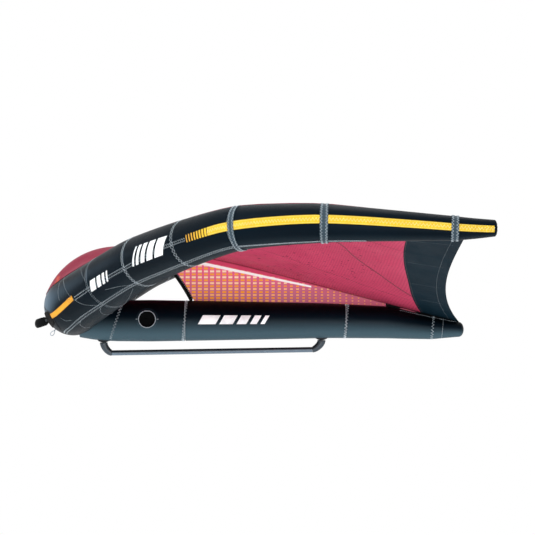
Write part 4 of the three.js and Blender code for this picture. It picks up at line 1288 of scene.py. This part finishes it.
# ---------------------------------------------------------------- web

STRUT_TOP = STRUT_AXIS + STRUT_RADII
WEB_END_X = TAIL_X - 110
# Where the dark sheet of painted shade between the strut's tail and the canopy runs.
SHADOW_SHEET_START_X, SHADOW_SHEET_END_X = TAIL_X - 350, TAIL_X - 1


def canopy_underside():
    """The cloth's line on the centre plane."""
    v = np.linspace(0, 1, 500)
    points, _ = canopy_shape(np.full_like(v, 1e-4), v)
    return points[:, 0], points[:, 2]


def web_front(t):
    """The web's bowed front edge, from the strut, t = 0, up to the canopy."""
    share = WEB_HEAD_SHARE * float(dark_start(np.array(0.0)))
    head, _ = canopy_shape(np.array(1e-4), np.array(share))
    foot = np.array([WEB_FOOT_X, 0, np.interp(WEB_FOOT_X, STRUT_X, STRUT_TOP)])
    head = np.array([head[0], 0, head[2]])
    middle = (foot + head) / 2 + [WEB_BOW, 0, 0]
    t = t[:, None]
    return (1 - t) ** 2 * foot + 2 * t * (1 - t) * middle + t**2 * head


def make_web():
    under_x, under_z = canopy_underside()
    front = web_front(np.linspace(0, 1, 60))
    rows = []
    for share in np.linspace(0, 1, 90) ** 1.15:
        # Each row of the grid runs from the strut up to the canopy; the first one is the front edge.
        foot_x = front[0, 0] + share * (WEB_END_X - front[0, 0])
        head_x = front[-1, 0] + share * (WEB_END_X - front[-1, 0])
        foot = np.array([foot_x, 0, np.interp(foot_x, STRUT_X, STRUT_TOP) - 0.5])
        head = np.array([head_x, 0, max(np.interp(head_x, under_x, under_z) + 0.3, foot[2] + 0.6)])
        up = np.linspace(1, 0, 24)[:, None]
        row = foot + (head - foot) * up
        straight = np.linspace(front[0, 0], front[-1, 0], 60)
        bow = np.interp(up[:, 0], np.linspace(0, 1, 60), front[:, 0] - straight)
        row[:, 0] += bow * (1 - share) ** 3
        row[:, 1] = -0.7
        rows.append(row)
    grid = np.array(rows)
    sag = np.sin(np.linspace(0, 26, 90))[:, None] * np.sin(np.linspace(0, np.pi, 24))[None, :]
    grid[:, :, 1] += 0.4 * sag
    bag = shell(Bag(), grid, np.array([0, 1.0, 0]), 1.2)
    piece = bag.piece("web_sheet", FINISHES["web"], replaces=["web"], slot="web_cloth", smooth=60)


def make_binding():
    front = web_front(np.linspace(0.0, 0.985, 50))
    tangent = unit(np.gradient(front, axis=0))
    ahead = np.stack([-tangent[:, 2], 0 * tangent[:, 0], tangent[:, 0]], -1)
    centre = front + ahead * 9.5
    centre[:, 2] = np.maximum(centre[:, 2], np.interp(centre[:, 0], STRUT_X, STRUT_TOP) + 2)
    bag = tube(Bag(), centre, NEAR, 10.5, sides=14, flat=0.26)
    bag.piece("web_binding_tape", FINISHES["binding"], replaces=["web_binding"], slot="binding_cloth")
    threads = Bag()
    for y in (-2.4, 2.4):
        line = centre + ahead * -6.5 + [0, y, 0]
        running(threads, (line, np.broadcast_to([0, np.sign(y), 0], line.shape)), stitch=5, gap=4, radius=0.6)
    threads.piece("web_binding_stitches", FINISHES["thread"], slot=THREAD_SLOT)


def make_tail_shadow_sheet():
    """A dark sheet of painted shade that fills the narrow gap between the strut's tail and the canopy."""
    under_x, under_z = canopy_underside()
    x = np.linspace(SHADOW_SHEET_START_X, SHADOW_SHEET_END_X, 60)
    low = np.interp(x, STRUT_X, STRUT_TOP) - 1.0
    high = np.maximum(np.interp(x, under_x, under_z) + 0.3, low + 0.8)
    up = np.linspace(1, 0, 6)
    z = low[:, None] + (high - low)[:, None] * up
    grid = np.stack(np.broadcast_arrays(x[:, None], -1.0, z), -1)
    bag = shell(Bag(), grid, np.array([0, 1.0, 0]), 2.0)
    piece = bag.piece("tail_shadow_sheet", FINISHES["binding"], slot="binding_cloth", smooth=60)


make_web()
make_binding()
make_tail_shadow_sheet()


# ---------------------------------------------------------------- boom


LEG_SIDES = 40
PIN_OVERHANG = 1.4  # how far a pin's shank passes the elbow's nominal radius


def boom_end(x):
    return np.array([x, 0, 2 * BOOM_TILT * x / BOOM_LENGTH])


BOOM_DIRECTION = unit(boom_end(1.0))


def strut_under(x):
    return float(strut_axis(x) - strut_radius(x))


def turned(bag, profile, centre, axis, sides=48):
    """A shape turned about an axis from (distance along it, radius) pairs."""
    axis = unit(np.asarray(axis, float))
    helper = np.array([0, 0, 1.0]) if abs(axis[2]) < 0.9 else np.array([1.0, 0, 0])
    first = unit(np.cross(axis, helper))
    second = np.cross(axis, first)
    angle = around(sides)
    ring = np.cos(angle)[:, None] * first + np.sin(angle)[:, None] * second
    profile = np.asarray(profile, float)
    grid = centre + profile[:, :1, None] * axis + profile[:, 1:, None] * ring
    return bag.add(grid, grid_faces(len(profile), sides, wrap=True), cloth_coordinates(grid))


def make_boom_bar():
    """A drawn tube, a closed wall with a rounded rim at each end."""
    reach = BOOM_LENGTH / 2 - 0.3
    r, w = BOOM_RADIUS, 1.9
    profile = [(-reach, r - w), (-reach, r - 0.5), (-reach + 0.5, r)]
    profile += [(x, r) for x in np.linspace(-reach + 6, reach - 6, 40)]
    profile += [(reach - 0.5, r), (reach, r - 0.5), (reach, r - w), (0, r - w), (-reach, r - w)]
    bag = turned(Bag(), profile, np.zeros(3), BOOM_DIRECTION)
    bag.piece("boom_tube", FINISHES["boom"], replaces=["boom_bar"], slot="boom_tube", smooth=40)


def make_boom_leg(where, leg_x, bar_x, top_radius):
    foot = strut_under(leg_x) - PAD_THICKNESS
    bar_end = boom_end(bar_x)
    inward = np.sign(-bar_x)
    top = np.array([leg_x, 0, foot - 0.3])
    knee = np.array([leg_x, 0, top[2] + (bar_end[2] - top[2]) * 0.5])
    handles = [top, knee, bar_end - inward * 12 * BOOM_DIRECTION, bar_end]
    t = np.linspace(0, 1, 40)[:, None]
    weights = [(1 - t) ** 3, 3 * t * (1 - t) ** 2, 3 * t**2 * (1 - t), t**3]
    path = sum(w * h for w, h in zip(weights, handles))
    tangent = unit(np.gradient(path, axis=0))
    radius = top_radius + 2 + (BOOM_RADIUS - top_radius) * t[:, 0] - 2 * t[:, 0] ** 8
    # A rounded collar at the top and a shallow parting ridge by the bar.
    radius = radius - 1.2 * np.exp(-((t[:, 0] / 0.02) ** 2)) + 0.9 * np.exp(-(((t[:, 0] - 0.95) / 0.02) ** 2))
    side = np.broadcast_to([0, 1.0, 0], path.shape)
    ahead = np.stack([-tangent[:, 2], 0 * tangent[:, 0], tangent[:, 0]], -1)
    angle = around(LEG_SIDES)
    ring = ahead[:, None] * np.cos(angle)[:, None] + side[:, None] * np.sin(angle)[:, None]
    grid = path[:, None] + ring * radius[:, None, None]
    bag = Bag()
    bag.add(grid, grid_faces(len(path), LEG_SIDES, wrap=True), cloth_coordinates(grid))
    bag.close(grid[0], path[0])
    bag.close(grid[-1], path[-1], turned=True)
    name = f"boom_elbow_{where}"
    bag.piece(f"{name}_moulding", FINISHES["moulding"], replaces=[name], slot="boom_moulding", smooth=40)
    make_pin(where, leg_x, foot, top_radius)
    make_pad(where, leg_x, foot)


def make_pin(where, leg_x, foot, top_radius):
    """The cross pin with its domed ends."""
    reach = top_radius + PIN_OVERHANG
    dome = [(-reach - 1.6, 0.3), (-reach - 1.2, 2.6), (-reach - 0.4, 4.2), (-reach, 4.4), (-reach + 0.1, 3)]
    profile = dome + [(-x, r) for x, r in reversed(dome)]
    bag = turned(Bag(), profile, np.array([leg_x, 0, foot - STUD_LENGTH / 2]), (0, 1, 0), sides=32)
    name = f"boom_pin_{where}"
    bag.piece(f"{name}_rivet", FINISHES["steel"], replaces=[name], slot="pin_steel", smooth=40)


def make_pad(where, leg_x, foot):
    """A rounded block under the strut, following its skin."""
    rows_y = np.linspace(-1, 1, 19)
    top_rows, low_rows = [], []
    for a in np.linspace(-1, 1, 25):
        across = (1 - abs(a) ** 3 * 0.35) ** 0.5
        y = rows_y * PAD_WIDTH / 2 * across
        x = np.full_like(y, leg_x + a * PAD_LENGTH / 2)
        skin = strut_axis(x) - np.sqrt(np.maximum(0, (strut_radius(x) + 0.1) ** 2 - y**2))
        low = foot + 9 * np.maximum(abs(a), np.abs(rows_y)) ** 2.5
        top_rows.append(np.stack([x, y, skin], -1))
        low_rows.append(np.stack([x, y, np.minimum(low, skin - 1.2)], -1))
    grid = np.array(top_rows)
    bag = shell(Bag(), grid, np.array(low_rows) - grid, 1.0)
    name = f"boom_pad_{where}"
    bag.piece(f"{name}_moulding", FINISHES["rubber"], replaces=[name], slot="pad_rubber", smooth=40)


make_boom_bar()
for where, leg_x, bar_x, top_radius in LEGS:
    make_boom_leg(where, leg_x, bar_x, top_radius)

# ---------------------------------------------------------------- valve

VALVE_FACE_Y = -math.sqrt(STRUT_RADIUS**2 - (VALVE_Z - STRUT_AXIS_Z) ** 2) - 3
CAP_BACK_Y = VALVE_FACE_Y - 0.3
RIM_Y = CAP_BACK_Y - 5.5
CAP_PIVOT_Z = VALVE_Z + VALVE_CAP_RADIUS + 5


def valve_centre(y):
    return np.array([VALVE_X, y, VALVE_Z])


def make_valve():
    # Distances run outwards from the valve's face, which is where the cap rests.
    face = valve_centre(VALVE_FACE_Y)
    edge = VALVE_FACE_Y - RIM_Y
    r, inner = VALVE_RADIUS, VALVE_RADIUS - 4.5
    profile = [(-24, 14.2), (0, 14.2), (0.2, 14.8), (0.2, inner - 0.4), (0.6, inner)]
    profile += [(edge - 0.8, inner), (edge, inner + 0.8), (edge, r - 1.4), (edge - 0.6, r - 0.4)]
    profile += [(edge - 1.8, r), (-14, r), (-14, 20), (-27, 20), (-27, 14.2), (-24, 14.2)]
    base = turned(Bag(), profile, face, NEAR, sides=96)
    looks = {"slot": "valve_moulding", "smooth": 40}
    piece = base.piece("valve_ring", FINISHES["valve"], replaces=["valve_base"], **looks)
    cut_ear_notch(piece, face, edge)
    make_valve_skirt()
    make_valve_bead(face - [0, edge, 0])


def cut_ear_notch(piece, face, edge):
    """A notch at the top of the rim lets the cap's ear pass."""
    corners = [face + [x, -y, z] for x in (-8.5, 8.5) for y in (edge + 2, 0.25) for z in (28, 52)]
    faces = [[0, 1, 3, 2], [4, 6, 7, 5], [0, 4, 5, 1], [2, 3, 7, 6], [0, 2, 6, 4], [1, 5, 7, 3]]
    mesh = bpy.data.meshes.new("notch")
    mesh.from_pydata((np.array(corners) * MM).tolist(), [], faces)
    notch = bpy.data.objects.new("notch", mesh)
    bpy.context.scene.collection.objects.link(notch)
    modifier = piece.modifiers.new("notch", "BOOLEAN")
    modifier.object, modifier.operation, modifier.solver = notch, "DIFFERENCE", "EXACT"
    bpy.context.view_layer.update()
    evaluated = piece.evaluated_get(bpy.context.evaluated_depsgraph_get())
    result = bpy.data.meshes.new_from_object(evaluated)
    piece.modifiers.clear()
    piece.data = result
    bpy.data.objects.remove(notch)


def make_valve_skirt():
    """The welded skirt of cloth round the valve."""
    angle = np.linspace(0, 2 * np.pi, 97)[:-1]
    rows = []
    for radius in (VALVE_RADIUS + step for step in (-1, 2, 6, 10)):
        x, z = VALVE_X + radius * np.cos(angle), VALVE_Z + radius * np.sin(angle)
        y = -np.sqrt((strut_radius(x) + 0.9) ** 2 - (z - strut_axis(x)) ** 2)
        rows.append(np.stack([x, y, z], -1))
    bag = shell(Bag(), np.array(rows), NEAR, 0.9, wrap=True)
    bag.piece("valve_skirt", FINISHES["patch"], slot="casing_cloth")


def make_valve_bead(centre):
    """The bright bead on the rim, open at the ear, and a tick at each side."""
    r = VALVE_RADIUS - 2.4
    angle = np.linspace(0, 2 * np.pi, 97)[:-1]
    line = centre + np.stack([r * np.cos(angle), np.zeros(96), r * np.sin(angle)], -1)
    clear = np.abs(np.degrees(angle) - 90) > 13
    first = int(np.argmin(clear)) + 10
    line = np.roll(line, -first, 0)[np.roll(clear, -first)]
    bag = tube(Bag(), line, NEAR, 1.6, sides=8, flat=0.4)
    for way in (-1, 1):
        x = VALVE_X + way * np.linspace(VALVE_RADIUS + 3, VALVE_RADIUS + 11, 6)
        y = -np.sqrt((strut_radius(x) + 1.9) ** 2 - (VALVE_Z - strut_axis(x)) ** 2)
        tube(bag, np.stack([x, y, np.full(6, VALVE_Z)], -1), NEAR, 1.2, sides=8, flat=0.4)
    bag.piece("valve_ring_bead", FINISHES["rim"], slot="valve_moulding")


def make_valve_cap():
    """The cap: a dished disc with a rib across it, a knurled edge and the tether's ear."""
    face = valve_centre(CAP_BACK_Y)
    sides, r = 144, VALVE_CAP_RADIUS
    angle = around(sides)
    knurl = np.where(np.arange(sides) % 4 < 2, 0.0, -0.45)
    # Each row is (distance out, radius, share of the knurl).
    profile = [(0, 2, 0), (0, r - 1, 0), (0.5, r - 0.3, 0), (1, r, 1), (4, r, 1), (4.7, r - 0.6, 0.5)]
    profile += [(5, r - 1.6, 0), (5, r - 4, 0), (4.1, r - 5.5, 0), (3.9, r - 9, 0)]
    profile += [(3.8, 6, 0), (3.8, 0.4, 0)]
    rows = []
    for depth, radius, grip in profile:
        spread = radius + grip * knurl
        x, z = spread * np.cos(angle), spread * np.sin(angle)
        rows.append(face + np.stack([x, np.full(sides, -depth), z], -1))
    grid = np.array(rows)
    bag = Bag()
    bag.add(grid, grid_faces(len(rows), sides, wrap=True, turned=True), cloth_coordinates(grid))
    bag.close(grid[0], face, turned=True)
    bag.close(grid[-1], face + [0, -3.8, 0])
    # Grip rib across the dish.
    rib = np.stack([np.linspace(-26, 26, 24), np.full(24, -4.1), np.zeros(24)], -1)
    widths = 3.6 * np.sin(np.linspace(0.35, np.pi - 0.35, 24)) ** 0.5
    tube(bag, face + rib, NEAR, widths, sides=12, flat=0.24)
    # The ear, a rounded tongue up to the tether's bend.
    reach = np.linspace(VALVE_CAP_RADIUS - 4, CAP_PIVOT_Z + 1.4 - VALVE_Z, 14)
    tongue = np.stack([np.zeros(14), np.full(14, -2), reach], -1)
    widths = 7 * np.array([1] * 10 + [0.98, 0.92, 0.78, 0.5])
    tube(bag, face + tongue, NEAR, widths, sides=16, flat=0.2)
    looks = {"slot": "valve_moulding", "smooth": 40}
    bag.piece("valve_cap_disc", FINISHES["valve"], body="valve_cap", replaces=["valve_cap"], **looks)


def make_plunger():
    profile = [(2.2, 0.3), (2.2, 3), (2.9, 11.5), (3.4, 12.7), (5.4, 13), (6, 12.6)]
    profile += [(6.2, 4.6), (17, 4.5), (17, 13)]
    profile += [(17.6, 13.5), (19.6, 13.5), (20, 12.8), (20, 0.3)]
    bag = turned(Bag(), profile, valve_centre(VALVE_FACE_Y), (0, 1, 0), sides=64)
    looks = {"slot": "valve_moulding", "smooth": 40}
    bag.piece("valve_stem", FINISHES["rubber"], body="valve_plunger", replaces=["valve_plunger"], **looks)


make_valve()
make_valve_cap()
make_plunger()

# ---------------------------------------------------------------- nose handle and webbing

WEBBING_REACH = 0.125
HANDLE_SPAN = 54
GRIP_SIDES = 40
GRIP_FIT = 0.97  # share of the grip's nominal size that its cover keeps to


def webbing_angle(s):
    return -30 + 15 * (np.abs(s) / WEBBING_REACH) ** 1.2


def make_webbing():
    s = np.linspace(-WEBBING_REACH, WEBBING_REACH, 90)
    spread = np.degrees(24 / edge_radius(s))[:, None] * np.linspace(-0.5, 0.5, 9)
    grid, away = edge_surface(s[:, None], webbing_angle(s)[:, None] + spread, 0.8)
    bag = shell(Bag(), grid, away, 1.4)
    bag.piece("nose_strap", FINISHES["webbing"], replaces=["nose_webbing"], slot="webbing_cloth")
    threads = Bag()
    for share in (-0.36, 0.36):
        turn = np.degrees(24 / edge_radius(s)) * share
        running(threads, edge_surface(s, webbing_angle(s) + turn, 2.2), stitch=5, gap=3, radius=0.6)
    # The dark patch between the grip's ends, over the middle of the strap.
    s = np.linspace(-0.046, 0.046, 41)
    squared = (1 - np.abs(s / 0.0462) ** 5)[:, None] ** 0.5
    fan = np.degrees(78 / edge_radius(s))[:, None] * np.linspace(-0.5, 0.5, 15) * (0.35 + 0.65 * squared)
    grid, away = edge_surface(s[:, None], webbing_angle(s)[:, None] - 1 + fan, 2.35)
    patch = shell(Bag(), grid, away, 0.7)
    patch.piece("nose_patch", FINISHES["binding"], slot="binding_cloth")
    # A boxed cross of stitching at each end.
    for _, side in SIDES:
        inner, outer = side * (WEBBING_REACH - 0.016), side * (WEBBING_REACH - 0.002)
        low, high = -4.0, 4.0  # degrees either side of the strap's middle
        base = webbing_angle(np.array(WEBBING_REACH))
        corners = [(inner, low), (outer, low), (outer, high), (inner, high), (inner, low), (outer, high)]
        corners += [(outer, low), (inner, high)]
        for (s0, a0), (s1, a1) in zip(corners, corners[1:]):
            s_line, a_line = np.linspace(s0, s1, 12), np.linspace(a0, a1, 12)
            running(threads, edge_surface(s_line, base + a_line, 2.2), stitch=4, gap=1.5, radius=0.7)
    threads.piece("nose_strap_stitches", FINISHES["brown_thread"], slot="webbing_cloth")


def handle_pivot(side):
    place = np.array(side * HANDLE_SPAN / EDGE_HALF)
    forward, up = edge_axes(place)
    angle = math.radians(float(webbing_angle(place)))
    away = forward * math.cos(angle) + up * math.sin(angle)
    return edge_centre(place) + (edge_radius(place) + 10.7) * away


def make_handle():
    """The padded grip: a sewn neoprene tube round foam, thin at its ends."""
    left, right = handle_pivot(-1), handle_pivot(1)
    front_x, front_z = left[0] - 42, left[2] - 15
    arm_x, arm_z = left[0] + (front_x - left[0]) * 0.6, left[2] + (front_z - left[2]) * 0.6
    reach = abs(left[1])
    places = [
        left,
        (arm_x, -reach * 0.97, arm_z),
        (front_x, -reach * 0.62, front_z),
        (front_x - 3, 0, front_z),
        (front_x, reach * 0.62, front_z),
        (arm_x, reach * 0.97, arm_z),
        right,
    ]
    path, _ = resampled(curve_through(places, 14), np.zeros((85, 3)), 2.6)
    share = np.linspace(0, 1, len(path))
    tangent = unit(np.gradient(path, axis=0))
    outward = unit(np.cross(tangent, [0, 0, 1.0]))
    up = unit(np.cross(outward, tangent))
    full = np.minimum(1, 4 * np.sin(np.pi * np.clip(share, 0.0, 1.0))) ** 0.5
    tall, deep = 5 + 17 * full, 5 + 9 * full
    creases = 0.5 * np.sin(share * 120) * np.exp(-(((share - 0.5) * 2) ** 2) * 0.4)
    angle = around(GRIP_SIDES)
    cos, sin = np.cos(angle), np.sin(angle)
    squeeze = (1 + creases / 22)[:, None, None]
    ring = outward[:, None] * cos[:, None] * deep[:, None, None]
    ring = ring + up[:, None] * sin[:, None] * tall[:, None, None]
    grid = path[:, None] + ring * squeeze * GRIP_FIT
    bag = Bag()
    bag.add(grid, grid_faces(len(path), GRIP_SIDES, wrap=True), cloth_coordinates(grid))
    bag.close(grid[0], path[0], turned=True)
    bag.close(grid[-1], path[-1])
    looks = {"body": "nose_handle", "slot": "handle_cover"}
    piece = bag.piece("handle_grip", FINISHES["neoprene"], replaces=["nose_handle"], smooth=60, **looks)
    barrels, threads = Bag(), Bag()
    profile = [(-9, 0.3), (-9, 5.8), (-8.2, 7), (8.2, 7), (9, 5.8), (9, 0.3)]
    for pivot in (left, right):
        turned(barrels, profile, pivot, (0, 1, 0), sides=32)
    barrels.piece("handle_barrels", FINISHES["rubber"], smooth=40, **looks)
    for turn in (-0.35, 0.35):
        inside = slice(6, -6)
        across = outward * deep[:, None] * math.cos(turn) ** 0.8
        surface = path + (across + up * tall[:, None] * turn) * GRIP_FIT
        running(threads, (surface[inside], outward[inside]), stitch=4, gap=3, radius=0.5)
    threads.piece("handle_stitches", FINISHES["thread"], **looks)


make_webbing()
make_handle()

# ---------------------------------------------------------------- bladders, inside the covers

BLADDER_GAP = 6  # between a bladder and the outside of its cover


def make_bladder(name, grid, node):
    """A closed film tube from rings of points."""
    closed = [np.broadcast_to(ring.mean(0), ring.shape) for ring in (grid[0], grid[-1])]
    grid = np.concatenate([closed[:1], grid, closed[1:]])
    sides = grid.shape[1]
    faces = grid_faces(len(grid), sides, wrap=True, turned=True)
    bag = Bag().add(grid, faces, cloth_coordinates(grid))
    bag.piece(name, FINISHES["film"], replaces=[node], slot="bladder_film")


film_angles = np.arange(64) * 360 / 64
rings, _ = edge_surface(np.linspace(-0.992, 0.992, 321)[:, None], film_angles[None, :], -BLADDER_GAP)
make_bladder("edge_bladder_film", rings, "edge_bladder")
stations = np.linspace(STRUT_FRONT_X + 30, TAIL_X - 6, 120)
rings, _ = strut_surface(stations[:, None], film_angles[None, :], -BLADDER_GAP)
make_bladder("strut_bladder_film", rings, "strut_bladder")

# ---------------------------------------------------------------- what is kept from the frame

finish_node("bladder_hose", "rubber")

# ---------------------------------------------------------------- floor, light and backdrop


FLOOR_Z, FLOOR_HALF = -1.47, 6.0
WORLD_LIGHT = 0.62
# Each light is (name, place, what it points at, size, power).
LIGHTS = [
    ("key", (-5.0, -5.0, 4.5), (0.2, 0, 0.2), 4.0, 330),
    ("fill", (1.5, -7.0, -0.6), (0.3, 0, 0.2), 3.0, 190),
    ("top", (0.5, 1.5, 6.0), (0.2, 0, 0.2), 4.0, 120),
]


def make_floor():
    mesh = bpy.data.meshes.new("floor")
    a = FLOOR_HALF
    corners = [(-a, -a, FLOOR_Z), (a, -a, FLOOR_Z), (a, a, FLOOR_Z), (-a, a, FLOOR_Z)]
    mesh.from_pydata(corners, [], [[0, 1, 2, 3]])
    floor = bpy.data.objects.new("floor", mesh)
    bpy.context.scene.collection.objects.link(floor)
    finish = Finish("floor", 0.9)
    finish.colour(finish.mix(finish.noise(1.5, 2.0), rgb(250, 250, 250), rgb(254, 254, 254)))
    mesh.materials.append(finish.material)


def make_light(name, place, target, size, power):
    data = bpy.data.lights.new(name, "AREA")
    data.shape, data.size, data.energy = "DISK", size, power
    lamp = bpy.data.objects.new(name, data)
    lamp.location = place
    direction = Vector(target) - Vector(place)
    lamp.rotation_euler = direction.to_track_quat("-Z", "Y").to_euler()
    bpy.context.scene.collection.objects.link(lamp)


def make_world():
    """Soft light all round, and plain white where the backdrop is seen or mirrored."""
    world = bpy.data.worlds.new("studio")
    world.use_nodes = True
    bpy.context.scene.world = world
    tree = world.node_tree
    ground = tree.nodes["Background"]
    ground.inputs["Color"].default_value = (1, 1, 1, 1)
    ground.inputs["Strength"].default_value = WORLD_LIGHT
    white = tree.nodes.new("ShaderNodeBackground")
    white.inputs["Color"].default_value = (1, 1, 1, 1)
    white.inputs["Strength"].default_value = 1.0
    path = tree.nodes.new("ShaderNodeLightPath")
    seen = path.outputs["Is Camera Ray"]
    for ray in ("Is Glossy Ray", "Is Transmission Ray"):
        either = tree.nodes.new("ShaderNodeMath")
        either.operation = "MAXIMUM"
        tree.links.new(seen, either.inputs[0])
        tree.links.new(path.outputs[ray], either.inputs[1])
        seen = either.outputs[0]
    mix = tree.nodes.new("ShaderNodeMixShader")
    tree.links.new(seen, mix.inputs[0])
    tree.links.new(ground.outputs[0], mix.inputs[1])
    tree.links.new(white.outputs[0], mix.inputs[2])
    tree.links.new(mix.outputs[0], tree.nodes["World Output"].inputs["Surface"])


make_floor()
make_world()
for light in LIGHTS:
    make_light(*light)

scene = bpy.context.scene
scene.view_settings.view_transform = "Standard"
